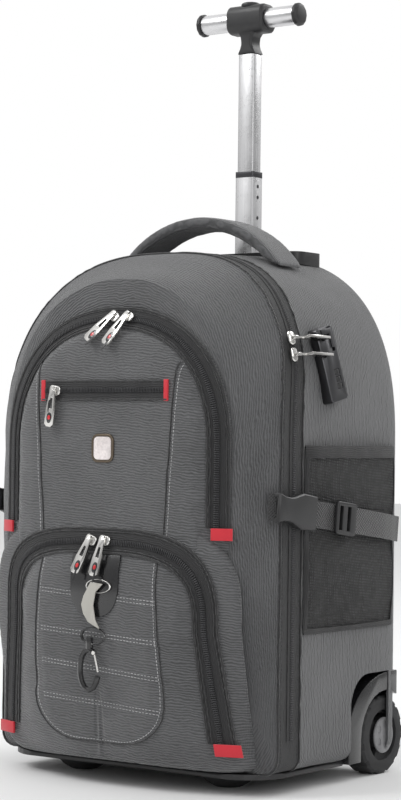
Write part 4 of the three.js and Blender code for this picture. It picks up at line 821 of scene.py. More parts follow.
@dataclass(frozen=True)
class Arch:
    """One section: a foot with round corners, upright legs, and a superellipse crown.

    Lengths are in millimetres, and flare is a share of the half width.
    """

    half: float
    top: float
    foot: float
    shoulder: float
    power: float
    side: float
    crown: float | None = None
    base: float | None = None
    flare: float = 0.0

    def depth(self, z: float) -> float:
        """Give the section's depth at a height.

        Args:
            z: The height in millimetres.

        Returns:
            The depth in millimetres.
        """
        if z >= self.shoulder:
            crown = self.side if self.crown is None else self.crown
            return self.side + (crown - self.side) * ((z - self.shoulder) / (self.top - self.shoulder)) ** 2
        base = self.side if self.base is None else self.base
        tuck_top = min(TUCK_TOP, self.shoulder)
        share = min(1.0, max(0.0, (z - self.foot) / (tuck_top - self.foot)))
        return self.side + (base - self.side) * (1 - share**0.75)

    def width(self, z: float) -> float:
        """Give the legs' half width at a height below the shoulder."""
        return self.half * (1 + self.flare * max(0.0, self.shoulder - z) / (self.shoulder - self.foot))

    def half_ring(self, corner: float, counts: tuple[int, int, int, int]) -> list[tuple[float, float, float]]:
        """Trace the right half from the middle of the foot to the middle of the crown.

        Args:
            corner: The radius of the foot's corner.
            counts: How many points the foot, the corner, the leg and half the crown take.

        Returns:
            The points as x, y, z.
        """
        foot, bend, leg, crown = counts
        inner = self.width(self.foot + corner) - corner
        points = [(inner * k / foot, self.depth(self.foot), self.foot) for k in range(foot)]
        for k in range(bend):
            turn = math.pi / 2 * k / bend
            z = self.foot + corner * (1 - math.cos(turn))
            points.append((inner + corner * math.sin(turn), self.depth(z), z))
        low = self.foot + corner
        for k in range(leg):
            z = low + (self.shoulder - low) * k / leg
            points.append((self.width(z), self.depth(z), z))
        for k in range(crown + 1):
            turn = math.pi / 2 * k / crown
            z = self.shoulder + (self.top - self.shoulder) * math.sin(turn) ** (2 / self.power)
            points.append((self.half * max(0.0, math.cos(turn)) ** (2 / self.power), self.depth(z), z))
        return points

    def ring(self, corner: float, counts: tuple[int, int, int, int], open_foot: float | None = None) -> np.ndarray:
        """Trace the whole section, from the foot's middle round by the right side and back.

        Args:
            corner: The radius of the foot's corner.
            counts: The points of each stretch, as in half_ring.
            open_foot: Where given, the section starts and ends on its legs at this height.

        Returns:
            The points as an array of x, y, z, evenly spread where the foot is open.
        """
        right = self.half_ring(corner, counts)
        if open_foot is not None:
            right = [p for p in right if p[2] > open_foot]
            right.insert(0, (self.width(open_foot), self.depth(open_foot), open_foot))
        left = [(-x, y, z) for x, y, z in reversed(right[:-1])]
        points = np.array(right + left)
        return points if open_foot is None else even_spread(points, 2 * sum(counts) + 1)


def even_spread(points: np.ndarray, count: int) -> np.ndarray:
    """Spread points evenly along the line through them.

    Args:
        points: The line's points, one in each row.
        count: How many points to spread.

    Returns:
        The evenly spread points.
    """
    steps = np.linalg.norm(np.diff(points, axis=0), axis=1)
    along = np.concatenate([[0], np.cumsum(steps)])
    marks = np.linspace(0, along[-1], count)
    return np.stack([np.interp(marks, along, points[:, k]) for k in range(3)], axis=1)


def eased_rows(rows: np.ndarray, steps: Sequence[int]) -> np.ndarray:
    """Run a smooth curve through matching points of several rings.

    Args:
        rows: The rings, as an array of ring, point and coordinate.
        steps: How many steps lie between each ring and the next.

    Returns:
        All the rings, with the given ones among them.
    """
    out = []
    for k, count in enumerate(steps):
        p0, p1, p2 = rows[max(k - 1, 0)], rows[k], rows[k + 1]
        p3 = rows[min(k + 2, len(rows) - 1)]
        for j in range(count):
            t = j / count
            out.append(p1 + 0.5 * t * (p2 - p0 + t * (2 * p0 - 5 * p1 + 4 * p2 - p3 + t * (3 * (p1 - p2) + p3 - p0))))
    out.append(rows[-1])
    return np.array(out)


def lengths_along(points: np.ndarray, axis: int) -> np.ndarray:
    """Measure how far each point of a grid lies along one of its two directions."""
    steps = np.linalg.norm(np.diff(points, axis=axis), axis=2)
    zero = np.zeros_like(np.take(steps, [0], axis=axis))
    return np.cumsum(np.concatenate([zero, steps], axis=axis), axis=axis)


def wrapped_uv(points: np.ndarray) -> np.ndarray:
    """Lay a cloth's pattern along its length and across it, in metres."""
    along = lengths_along(points, 1)
    along = along - along[:, [points.shape[1] // 2]]
    return np.stack([along, lengths_along(points, 0)], axis=2) * MM


def front_uv(points: np.ndarray) -> np.ndarray:
    """Lay a cloth's pattern as it is seen from the front, in metres."""
    return points[..., [0, 2]] * MM


def cloth_grid(
    name: str, points: np.ndarray, uv: np.ndarray, *, closed: bool = False, outward: bool = True
) -> bpy.types.Object:
    """Shape a grid primitive into a cloth.

    Args:
        name: The piece's name.
        points: The places of its points, as an array of row, column and x, y, z in millimetres.
        uv: The pattern's places, in metres.
        closed: Whether its last column joins its first; not used.
        outward: Whether the faces keep their side, or else are turned.

    Returns:
        The new piece, an open skin with no thickness yet.
    """
    rows, columns = points.shape[:2]
    deselect()
    bpy.ops.mesh.primitive_grid_add(x_subdivisions=columns - 1, y_subdivisions=rows - 1, size=1)
    piece = bpy.context.object
    piece.name = name
    mesh = piece.data
    flat = np.empty(len(mesh.vertices) * 3)
    mesh.vertices.foreach_get("co", flat)
    flat = flat.reshape(-1, 3)
    column = np.rint((flat[:, 0] + 0.5) * (columns - 1)).astype(int)
    row = np.rint((flat[:, 1] + 0.5) * (rows - 1)).astype(int)
    mesh.vertices.foreach_set("co", ROOM.points(points)[row, column].ravel())
    corner = np.empty(len(mesh.loops), int)
    mesh.loops.foreach_get("vertex_index", corner)
    layer = mesh.uv_layers[0] if mesh.uv_layers else mesh.uv_layers.new()
    layer.name = CLOTH_UV
    layer.data.foreach_set("uv", uv[row, column][corner].ravel())
    mesh.update()
    with editing(piece, "VERT"):
        bpy.ops.mesh.select_all(action="SELECT")
        if not outward:
            bpy.ops.mesh.flip_normals()
        bpy.ops.mesh.remove_doubles(threshold=0.00001)
    return piece


def thickened(piece: bpy.types.Object, thick: float, outside: float = -1.0) -> bpy.types.Object:
    """Give a cloth its thickness in millimetres, inwards unless told otherwise.

    Args:
        piece: The cloth.
        thick: Its thickness in millimetres.
        outside: How far the wall stands outside the skin, from -1 to 1.

    Returns:
        The same piece.
    """
    wall = piece.modifiers.new("thickness", "SOLIDIFY")
    wall.thickness = thick * MM
    wall.offset = outside
    wall.use_even_offset = True
    wall.thickness_clamp = 1.0
    return apply_all(piece)


def rumpled(
    piece: bpy.types.Object, depth: float, size: float, seed: float, keep: Callable[[Vector], float] | None = None
) -> bpy.types.Object:
    """Move a cloth's points along their normals by smooth noise.

    Args:
        piece: The cloth.
        depth: The most that a point moves, in millimetres.
        size: The size of a fold, in millimetres.
        seed: Where in the noise it starts.
        keep: Takes a point's place and gives the share of the depth that it moves by.

    Returns:
        The same piece.
    """
    mesh = piece.data
    normals = [v.normal.copy() for v in mesh.vertices]
    for vertex, normal in zip(mesh.vertices, normals):
        place = vertex.co * (1 / (size * MM)) + Vector((seed, seed * 1.7, -seed))
        folds = noise.noise(place) + 0.45 * noise.noise(place * 2.3) - 0.25
        share = 1.0 if keep is None else keep(vertex.co)
        vertex.co += normal * (folds * depth * MM * share)
    mesh.update()
    return piece


@dataclass
class Press:
    """A short cloth simulation that puffs and creases a skin, held at the points where it is sewn."""

    pressure: float = 1.2
    cap: float = 4.0
    shrink: float = -0.02
    frames: int = 20

    def settle(self, piece: bpy.types.Object, held: Callable[[Vector], float]) -> bpy.types.Object:
        """Run the simulation on a piece and keep its result, with each point's move capped.

        Args:
            piece: The skin.
            held: Takes a point's place and gives how firmly it is held, from 0 to 1.

        Returns:
            The same piece with its points moved.
        """
        mesh = piece.data
        group = piece.vertex_groups.new(name="sewn")
        for vertex in mesh.vertices:
            group.add([vertex.index], held(vertex.co), "REPLACE")
        cloth = piece.modifiers.new("cloth", "CLOTH")
        settings = cloth.settings
        settings.vertex_group_mass = group.name
        settings.use_pressure = True
        settings.uniform_pressure_force = self.pressure
        settings.shrink_min = self.shrink
        settings.tension_stiffness = 12
        settings.compression_stiffness = 12
        settings.bending_stiffness = 0.4
        settings.quality = 6
        settings.effector_weights.gravity = 0
        cloth.collision_settings.use_collision = False
        cloth.collision_settings.use_self_collision = False
        scene = bpy.context.scene
        for number in range(1, self.frames + 1):
            scene.frame_set(number)
        settled = piece.evaluated_get(bpy.context.evaluated_depsgraph_get())
        moved = [v.co.copy() for v in settled.data.vertices]
        piece.modifiers.remove(cloth)
        piece.vertex_groups.remove(group)
        scene.frame_set(1)
        most = self.cap * MM
        for vertex, place in zip(mesh.vertices, moved):
            move = place - vertex.co
            if not math.isfinite(move.length):
                continue
            if move.length > most:
                move *= most / move.length
            vertex.co += move
        mesh.update()
        return piece


@dataclass
class Skin:
    """The outside of finished pieces, onto which seams and trims are laid."""

    tree: BVHTree

    @classmethod
    def of(cls, *pieces: bpy.types.Object) -> "Skin":
        """Read the faces of several pieces.

        Args:
            pieces: The finished pieces.

        Returns:
            The skin.
        """
        places, faces = [], []
        for piece in pieces:
            start = len(places)
            places += [v.co.copy() for v in piece.data.vertices]
            faces += [[start + k for k in face.vertices] for face in piece.data.polygons]
        return cls(BVHTree.FromPolygons(places, faces))

    def along(self, start: Vector, way: Vector) -> tuple[Vector, Vector]:
        """Find where a line from outside meets the skin.

        Args:
            start: The line's start, in metres.
            way: Its direction.

        Returns:
            The point and the skin's normal there, facing the line's start.
        """
        place, normal, _, _ = self.tree.ray_cast(start, way)
        if place is None:
            place, normal, _, _ = self.tree.find_nearest(start + way * 0.3)
        return place, (normal if normal.dot(way) < 0 else -normal)

    def ahead(self, x: float, z: float) -> tuple[Vector, Vector]:
        """Find the skin as seen from the front at x and z in millimetres."""
        return self.along(Vector((x * MM, -0.6, z * MM)), Vector((0, 1, 0)))

    def beside(self, y: float, z: float, side: int = 1) -> tuple[Vector, Vector]:
        """Find the skin as seen from a side, at a table depth and height in millimetres."""
        start = ROOM.at(side * 400, y, z)
        return self.along(start, Vector((-side, 0, 0)))

    def near(self, place: Vector, outward: Vector | None = None) -> tuple[Vector, Vector]:
        """Find the skin's point nearest to a place in metres, and its normal.

        Args:
            place: A point near the skin.
            outward: Roughly the way that the skin looks there.

        Returns:
            The closest point and its normal.
        """
        spot, normal, _, _ = self.tree.find_nearest(place)
        if outward is not None and normal.dot(outward) < 0:
            normal = -normal
        return spot, normal


Laid = tuple[Vector, Vector]


def spaced(laid: Sequence[Laid], pitch: float, closed: bool = False) -> list[tuple[Vector, Vector, Vector]]:
    """Space places evenly along a laid line.

    Args:
        laid: Points of the line with their normals, in metres.
        pitch: The spacing in millimetres.
        closed: Whether the line runs back to its start.

    Returns:
        Each place with its direction along the line and its normal.
    """
    line = list(laid) + ([laid[0]] if closed else [])
    along = [0.0]
    for (a, _), (b, _) in zip(line, line[1:]):
        along.append(along[-1] + (b - a).length)
    count = max(2, round(along[-1] / (pitch * MM)))
    out, k = [], 0
    for number in range(count):
        mark = along[-1] * (number + 0.5) / count
        while along[k + 1] < mark:
            k += 1
        share = (mark - along[k]) / max(1e-9, along[k + 1] - along[k])
        (a, na), (b, nb) = line[k], line[k + 1]
        normal = na.lerp(nb, share).normalized()
        way = (b - a).normalized()
        out.append((a.lerp(b, share), way, normal))
    return out


def row_of(
    name: str, unit: bpy.types.Object, seats: Sequence[tuple[Vector, Vector, Vector]], lift: float = 0.0
) -> bpy.types.Object:
    """Repeat one modelled unit along a line, as one piece.

    Args:
        name: The new piece's name.
        unit: The unit, lying along X with Z up.
        seats: Each place with its direction and normal.
        lift: How far each stands off the line, in millimetres.

    Returns:
        The row of units. The unit is left as it is.
    """
    size = len(unit.data.vertices)
    shape = np.empty(size * 3)
    unit.data.vertices.foreach_get("co", shape)
    shape = shape.reshape(-1, 3)
    faces = [list(face.vertices) for face in unit.data.polygons]
    places, polygons = [], []
    for number, (place, way, normal) in enumerate(seats):
        cross = normal.cross(way).normalized()
        ahead = cross.cross(normal).normalized()
        axes = np.array([ahead, cross, normal])
        places.append(shape @ axes + np.array(place + normal * lift * MM))
        polygons += [[number * size + k for k in face] for face in faces]
    mesh = bpy.data.meshes.new(name)
    mesh.from_pydata(np.concatenate(places).tolist(), [], polygons)
    mesh.update()
    piece = bpy.data.objects.new(name, mesh)
    bpy.context.scene.collection.objects.link(piece)
    return smooth(piece, 50)


def tube_along(
    name: str, laid: Sequence[Laid], radius: float, lift: float = 0.0, closed: bool = False
) -> bpy.types.Object:
    """Run a round cord along a laid line.

    Args:
        name: The piece's name.
        laid: The line's points and normals, in metres.
        radius: The cord's radius in millimetres.
        lift: How far its middle stands off the line, in millimetres.
        closed: Whether it runs back to its start.

    Returns:
        The cord as a mesh.
    """
    curve = bpy.data.curves.new(name, "CURVE")
    curve.dimensions = "3D"
    curve.bevel_depth = radius * MM
    curve.bevel_resolution = 2
    curve.use_fill_caps = True
    line = curve.splines.new("POLY")
    line.points.add(len(laid) - 1)
    for point, (place, normal) in zip(line.points, laid):
        point.co = (*(place + normal * lift * MM), 1)
    line.use_cyclic_u = closed
    piece = bpy.data.objects.new(name, curve)
    bpy.context.scene.collection.objects.link(piece)
    activate(piece)
    bpy.ops.object.convert(target="MESH")
    piece = bpy.context.object
    if piece.data.uv_layers:
        piece.data.uv_layers[0].name = CLOTH_UV
    return smooth(piece, 60)


def strip_along(
    name: str, laid: Sequence[Laid], width: float, thick: float, lift: float = 0.0, closed: bool = False,
    crown: float = 0.0,
) -> bpy.types.Object:
    """Run a flat band along a laid line, lying on it.

    Args:
        name: The piece's name.
        laid: The line's points and normals, in metres.
        width: The band's width in millimetres.
        thick: Its thickness in millimetres.
        lift: How far it stands off the line, in millimetres.
        closed: Whether it runs back to its start.
        crown: How much higher its middle lies, in millimetres.

    Returns:
        The band, whose pattern's places run along it and across it from its middle.
    """
    line = list(laid) + ([laid[0]] if closed else [])
    rows = []
    for k, (place, normal) in enumerate(line):
        before, after = line[max(k - 1, 0)][0], line[min(k + 1, len(line) - 1)][0]
        if closed and k in (0, len(line) - 1):
            before, after = line[-2][0], line[1][0]
        across = normal.cross((after - before).normalized()).normalized()
        row = []
        for share in (-0.5, -0.25, 0.0, 0.25, 0.5):
            rise = lift + crown * (1 - (2 * share) ** 2)
            row.append(place + across * share * width * MM + normal * rise * MM)
        rows.append([tuple(p) for p in row])
    grid = np.array(rows)
    local = grid.copy()
    local[..., 1] -= ROOM.shift
    points = np.swapaxes(local / MM, 0, 1)
    along = lengths_along(points, 1) * MM
    across = np.repeat(np.array([[-0.5], [-0.25], [0.0], [0.25], [0.5]]) * width * MM, points.shape[1], axis=1)
    piece = cloth_grid(name, points, np.stack([along, across], axis=2))
    faces_out(piece, line[len(line) // 2][1])
    return smooth(thickened(piece, thick, 1.0 if lift >= 0 else -1.0), 40)


def faces_out(piece: bpy.types.Object, outward: Vector) -> None:
    """Turn an open skin's faces over if its middle faces look against a direction.

    Args:
        piece: The open skin.
        outward: Roughly the way that its faces should look.
    """
    faces = piece.data.polygons
    middle = faces[len(faces) // 2]
    if middle.normal.dot(outward) < 0:
        piece.data.flip_normals()


@dataclass(frozen=True)
class Stitch:
    """A row of stitches: each one's length, width and height, and the pitch, in millimetres."""

    long: float = 2.6
    wide: float = 0.7
    high: float = 0.5
    pitch: float = 3.8

    def unit(self) -> bpy.types.Object:
        """Model one stitch."""
        unit = block("stitch", (self.long, self.wide, self.high))
        return bevelled(unit, self.wide * 0.22, 1)

    def sew(self, name: str, lines: Sequence[Sequence[Laid]], closed: bool = False) -> bpy.types.Object:
        """Sew rows of stitches along laid lines, as one piece.

        Args:
            name: The row's name.
            lines: The laid lines to sew along.
            closed: Whether each line is a closed loop.

        Returns:
            The piece's object.
        """
        unit = self.unit()
        seats = [seat for line in lines for seat in spaced(line, self.pitch, closed)]
        piece = row_of(name, unit, seats, self.high * 0.15)
        bpy.data.objects.remove(unit, do_unlink=True)
        return piece


@dataclass(frozen=True)
class Coil:
    """A zip's closed coil, modelled as a row of small hoops across its line."""

    wide: float = 5.2
    high: float = 1.7
    pitch: float = 1.9

    def unit(self) -> bpy.types.Object:
        """Model one hoop of the coil."""
        unit = block("hoop", (self.pitch * 0.66, self.wide, self.high))
        return bevelled(unit, self.pitch * 0.2, 1)

    def run(self, name: str, line: Sequence[Laid], rise: float = 0.0) -> bpy.types.Object:
        """Run the coil along a laid line, standing off it by a rise in millimetres.

        Args:
            name: The coil's name.
            line: The laid line that it follows.
            rise: How far it stands off the skin, in millimetres.

        Returns:
            The piece's object.
        """
        unit = self.unit()
        piece = row_of(name, unit, spaced(line, self.pitch), self.high * 0.3 + rise)
        bpy.data.objects.remove(unit, do_unlink=True)
        return piece


# The bag's soft pieces

COUNTS = (10, 5, 30, 44)


def rear_arches() -> list[Arch]:
    """Give the sections from the front zip lane to the back panel.

    Returns:
        The sections, front to back.
    """
    table = [
        (1.0, 0.963, 2.7, -1.198, 36), (1.0, 0.968, 2.7, -1.0, 36), (1.002, 0.985, 2.65, -0.62, 8),
        (1.002, 0.999, 2.55, -0.22, 0), (0.99, 1.0, 2.5, -0.06, 0), (0.965, 0.99, 2.5, -0.016, 0),
        (0.93, 0.965, 2.5, 0.0, 0),
    ]
    return [
        Arch(
            half * BAG_HALF, SHOULDER + CROWN_RISE * rise, BAG_FOOT, SHOULDER, power, -y * REAR_LANE,
            crown=-y * REAR_LANE + lean,
        )
        for half, rise, power, y, lean in table
    ]


def front_arches() -> list[Arch]:
    """Give the sections from the front zip lane to the front face.

    Returns:
        The sections, back to front.
    """
    table = [
        (1.0, 0.963, 2.7, 0.0, 36), (0.968, 0.945, 2.5, 0.28, 34), (0.905, 0.885, 2.35, 0.66, 22),
        (0.85, 0.842, 2.2, 0.9, 8), (0.815, 0.815, 2.15, 1.0, 0),
    ]
    return [
        Arch(
            half * BAG_HALF, SHOULDER + CROWN_RISE * rise, BAG_FOOT + 6 * reach**2, SHOULDER, power,
            FRONT_LANE - reach * FRONT_DEPTH, crown=FRONT_LANE - reach * FRONT_DEPTH + lean,
            base=FRONT_LANE - reach * FRONT_DEPTH * 0.15,
        )
        for half, rise, power, reach, lean in table
    ]


def upper_arches() -> list[Arch]:
    """Give the upper pocket's sections, from the bag's front to its flat face.

    Returns:
        The sections, back to front.
    """
    table = [(-0.007, 0, -0.2), (0, 0, 0.06), (0, 1, 0.5), (0.067, 1, 0.85), (0.193, 1, 1.0)]
    return [
        Arch(
            UPPER_HALF * (1 - inset) - UPPER_BAND * bands, UPPER_TOP - UPPER_HALF * inset - UPPER_BAND * bands,
            UPPER_FOOT, UPPER_SHOULDER, 2.25, FRONT_FACE - forward * UPPER_BULGE,
        )
        for inset, bands, forward in table
    ]


def lower_arches() -> list[Arch]:
    """Give the lower pocket's sections, from the bag's front to its domed face.

    Returns:
        The sections, back to front.
    """
    table = [
        (0, 0, 0, -0.1, -0.1, 1.05, 0, 0), (0, 0, 0, 0.05, 0.56, 0.92, 0, 0),
        (0.134, 0.04, 0, 0.25, 0.72, 0.62, 0.016, 0.13), (0.134, 0.04, 1, 0.46, 0.86, 0.5, 0.048, 0.13),
        (0.242, 0.104, 1, 0.82, 0.97, 0.42, 0.13, 0), (0.416, 0.176, 1, 1, 1, 0.38, 0.26, 0),
    ]
    return [
        Arch(
            LOWER_HALF * (1 - inset) - LOWER_BAND * bands, LOWER_TOP * (1 - drop) - LOWER_BAND * bands,
            LOWER_FOOT + LOWER_BULGE * lift, LOWER_SHOULDER, 3.3, FRONT_FACE - side * LOWER_BULGE,
            crown=FRONT_FACE - crown * LOWER_BULGE,
            base=FRONT_FACE - side * LOWER_BULGE + base * FRONT_DEPTH, flare=flare,
        )
        for inset, drop, bands, side, crown, base, lift, flare in table
    ]


def rings(arches: Sequence[Arch], corner: float | Sequence[float], open_foot: float | None = None) -> np.ndarray:
    """Trace every section with matching points, with the cloth that the lock holds kept out.

    Args:
        arches: The sections.
        corner: The radius of the foot's corners, one for all or one for each section.
        open_foot: Where given, the sections end on their legs at this height.

    Returns:
        An array of section, point and coordinate.
    """
    corners = [corner] * len(arches) if isinstance(corner, float) else corner
    rows = np.array([arch.ring(bend, COUNTS, open_foot) for arch, bend in zip(arches, corners)])
    x, y, z = rows[..., 0], rows[..., 1], rows[..., 2]
    near = np.exp(-(((z - LOCK_HEIGHT) / 34) ** 2) - ((y - LOCK_DEPTH) / 24) ** 2) * (x > 120)
    rows[..., 0] += LOCK_HOLD * near
    return rows


def capped(rows: np.ndarray, middle: float, puff: float, steps: int = 16) -> np.ndarray:
    """Close a loft's last ring with a face that rises a little towards its middle.

    Args:
        rows: The loft's rings.
        middle: The height of the face's middle.
        puff: How far the middle stands out from the last ring, in millimetres, forwards if negative.
        steps: How many rings the face takes.

    Returns:
        The rows with the face's rings added.
    """
    last = rows[-1]
    hub = np.array([0.0, 0.0, middle])
    face = []
    for k in range(1, steps + 1):
        share = 1 - k / steps
        ring = last.copy()
        ring[:, 0] = last[:, 0] * share
        ring[:, 2] = hub[2] + (last[:, 2] - hub[2]) * share
        level = last[:, 1] * share + last[:, 1].mean() * (1 - share)
        ring[:, 1] = level + puff * (1 - share**2)
        face.append(ring)
    return np.concatenate([rows, np.array(face)])


def one_step(rows: np.ndarray, start: int, steps: int) -> np.ndarray:
    """Give only the eased rows between one ring and the next.

    Args:
        rows: The rings.
        start: The first ring's number.
        steps: How many steps lie up to the next ring.

    Returns:
        The eased rows.
    """
    counts = [1] * (len(rows) - 1)
    counts[start] = steps
    eased = eased_rows(rows, counts)
    return eased[start:start + steps + 1]


def laid_ring(ring: np.ndarray, skin: Skin) -> list[Laid]:
    """Turn a ring of table points into laid points with the skin's normals.

    Args:
        ring: The ring's points, in millimetres.
        skin: The skin that gives the normals.

    Returns:
        The points with their normals.
    """
    out = []
    for x, y, z in ring:
        place = ROOM.at(x, y, z)
        outward = Vector((x, min(-20.0, y + 150), z - 200)).normalized()
        out.append((place, skin.near(place, outward)[1]))
    return out


@dataclass
class BagBody:
    """The bag's main form: back, zip lane and front."""

    wardrobe: Wardrobe
    wall: float = 2.2

    def build(self) -> Skin:
        """Build the pieces and give the skin that trims are laid on.

        Returns:
            The skin of all three.
        """
        back = self.back()
        lane = self.lane()
        front = self.front()
        skin = Skin.of(back, lane, front)
        self.trims(skin)
        return skin

    def back(self) -> bpy.types.Object:
        """Build the back part with its panel, and open it for the pole and the wheels.

        Returns:
            The piece's object.
        """
        rows = eased_rows(rings(rear_arches()[1:], CORNER), [9, 9, 7, 4, 4])
        rows = capped(rows, 265, 0.0, 14)
        piece = cloth_grid("bag_back", rows, wrapped_uv(rows), closed=True)
        self.turn_out(piece)
        top = (BAG_TOP - 40) * MM
        rumpled(piece, 1.3, 60, 3.1, lambda p: self.loose(p) * (0.6 if p.z > top else 1.0))
        thickened(piece, self.wall)
        low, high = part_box("handle_cradle")
        well = block("well", ((high.x - low.x) / MM - 8, (high.y - low.y) / MM - 8, 400),
                     (0, (low.y + high.y) / 2 / MM, 480))
        tools = [well]
        for side in (1, -1):
            low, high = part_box("wheel_housing_right")
            wide, deep, tall = 60, 70, (high.z / MM + 1) * 2
            centre = (side * (low.x / MM - 0.5 + wide / 2), low.y / MM - 0.5 + deep / 2, 0)
            room = block("room", (wide, deep, tall), centre)
            with editing(room, "EDGE") as mesh:
                pick_edges(mesh, lambda a, b: a.z > 0.05 and b.z > 0.05 and abs(a.y - b.y) < 0.001 and a.y < 0.06)
                bpy.ops.mesh.bevel(offset=0.032, segments=8, affect="EDGES")
            tools.append(room)
        carved(piece, *tools)
        smooth(piece, 45)
        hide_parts("back_shell")
        return finished(piece, self.wardrobe.nylon, Slot.GREY_NYLON)

    @staticmethod
    def loose(place: Vector) -> float:
        """Say how far cloth may move, less near the back panel and the zip lane."""
        lane = min(1.0, max(0.0, (place.y - (-43.0 * MM)) / 0.03))
        panel = min(1.0, max(0.0, (0.128 - place.y) / 0.02))
        return lane * panel

    @staticmethod
    def turn_out(piece: bpy.types.Object) -> None:
        """Turn a closed-ended skin's faces outwards by its volume.

        Args:
            piece: The skin.
        """
        mesh = piece.data
        centre = sum((v.co for v in mesh.vertices), Vector()) / len(mesh.vertices)
        score = sum((f.center - centre).dot(f.normal) * f.area for f in mesh.polygons)
        if score < 0:
            mesh.flip_normals()

    def lane(self) -> bpy.types.Object:
        """Build the black band round the bag that carries the main zip.

        Returns:
            The piece's object.
        """
        pair = [front_arches()[0], rear_arches()[1]]
        rows = eased_rows(rings(pair, CORNER), [7])
        piece = cloth_grid("main_zip_lane", rows, wrapped_uv(rows), closed=True)
        self.turn_out(piece)
        thickened(piece, 1.6)
        smooth(piece, 45)
        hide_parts("main_zip_band")
        return finished(piece, self.wardrobe.black_cloth, Slot.BLACK_NYLON)

    def front(self) -> bpy.types.Object:
        """Build the front part with its face.

        Returns:
            The piece's object.
        """
        rows = eased_rows(rings(front_arches(), [CORNER, 24.0, 40.0, 52.0, 58.0]), [6, 7, 6, 4])
        rows = capped(rows, 250, -0.6, 16)
        piece = cloth_grid("bag_front", rows, wrapped_uv(rows), closed=True)
        self.turn_out(piece)
        rumpled(piece, 1.6, 55, 8.2, lambda p: min(1.0, max(0.0, (-0.0785 - p.y) / 0.02)) * (0.4 if p.z < 0.2 else 1))
        thickened(piece, self.wall)
        smooth(piece, 50)
        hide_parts("front_shell")
        return finished(piece, self.wardrobe.nylon, Slot.GREY_NYLON)

    def trims(self, skin: Skin) -> None:
        """Lay the piping and the zip coil on the body.

        Args:
            skin: The body's skin.
        """
        lane_rings = eased_rows(rings([front_arches()[0], rear_arches()[1]], CORNER), [10])
        for name, row in (("lane_piping_front", lane_rings[0]), ("lane_piping_rear", lane_rings[-1])):
            cord = tube_along(name, laid_ring(row[:-1], skin), 1.15, 0.5, closed=True)
            finished(cord, self.wardrobe.dark_piping, Slot.BLACK_NYLON)
        for name, share in (("lane_seam_front", 0.12), ("lane_seam_rear", 0.9)):
            ring = lane_rings[0] * (1 - share) + lane_rings[-1] * share
            row = Stitch(2.4, 0.5, 0.4, 3.6).sew(name, [laid_ring(ring, skin)])
            finished(row, self.wardrobe.dark_thread, Slot.BLACK_NYLON)
        arches = [front_arches()[0], rear_arches()[1]]
        opened = rings(arches, CORNER, 50.3)
        share = 0.58
        line = laid_ring(opened[0] * (1 - share) + opened[1] * share, skin)
        tape = strip_along("main_zip_tape", line, 13.5, 0.5, 0.15)
        finished(tape, self.wardrobe.tape, Slot.BLACK_NYLON)
        coil = Coil(5.6, 1.8, 2.1).run("main_zip_coil", line)
        finished(coil, self.wardrobe.coil, Slot.BLACK_PLASTIC)


@dataclass
class FrontPocket:
    """A pocket on the bag's front: its shell, zip band, piping and tabs."""

    wardrobe: Wardrobe
    name: str
    arches: list[Arch]
    steps: list[int]
    band: int
    band_foot: float
    middle: float
    puff: float
    nodes: tuple[str, str]
    tab_nodes: tuple[str, str]
    corners: float | tuple[float, ...] = POCKET_CORNER

    def shell(self) -> bpy.types.Object:
        """Build the pocket's skin, puffed and creased, and give it its wall.

        Returns:
            The piece's object.
        """
        rows = eased_rows(rings(self.arches, self.corners), self.steps)
        rows = capped(rows, self.middle, self.puff, 18)
        piece = cloth_grid(self.name + "_pocket_shell", rows, front_uv(rows), closed=True)
        BagBody.turn_out(piece)
        self.crease(piece)
        thickened(piece, 1.9)
        smooth(piece, 55)
        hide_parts(self.nodes[0])
        return finished(piece, self.wardrobe.nylon_face, Slot.GREY_NYLON)

    def crease(self, piece: bpy.types.Object) -> None:
        """Crease the pocket's free cloth by simulation, with its sewn edges held.

        Args:
            piece: The pocket's skin.
        """
        front = ROOM.at(0, self.arches[self.band + 1].side, 0).y

        def held(place: Vector) -> float:
            """Hold the cloth behind its zip band firmly, and the free cloth hardly."""
            return min(1.0, max(0.0, (place.y - (front - 0.004)) / 0.006)) * 0.9 + 0.02

        Press(1.0, 0.7, -0.015).settle(piece, held)
        rumpled(piece, 1.1, 42, len(self.name) * 2.3, lambda p: 1 - held(p))

    def zip_band(self, skin: Skin) -> None:
        """Build the black band, its twin piping and its coil.

        Args:
            skin: The pocket's skin.
        """
        ringed = rings(self.arches, POCKET_CORNER, self.band_foot)
        rows = one_step(ringed, self.band, 7)
        piece = cloth_grid(self.name + "_zip_tape", rows, wrapped_uv(rows))
        faces_out(piece, Vector((0, -0.5, 1)))
        thickened(piece, 1.1, 1.0)
        smooth(piece, 45)
        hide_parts(self.nodes[1])
        finished(piece, self.wardrobe.black_cloth, Slot.BLACK_NYLON)
        line = laid_ring(rows[len(rows) // 2], skin)
        coil = Coil(5.4, 1.7, 2.0).run(self.name + "_zip_coil", line, 1.1)
        finished(coil, self.wardrobe.coil, Slot.BLACK_PLASTIC)
        for label, index, inner in (("outer", 0, 1), ("inner", -1, -2)):
            cord = tube_along(f"{self.name}_piping_{label}", laid_ring(rows[index], skin), 1.25, 0.9)
            finished(cord, self.wardrobe.dark_piping, Slot.BLACK_NYLON)
            cord = tube_along(f"{self.name}_piping_{label}_second", laid_ring(rows[inner], skin), 0.6, 1.4)
            finished(cord, self.wardrobe.dark_piping, Slot.BLACK_NYLON)

    def tabs(self) -> None:
        """Dress the red bindings at the zip's two ends."""
        for node, side in zip(self.tab_nodes, ("right", "left")):
            tab = refined(node, f"{self.name}_zip_binding_{side}", 0.6, 2)
            finished(tab, self.wardrobe.red, Slot.RED_CLOTH)


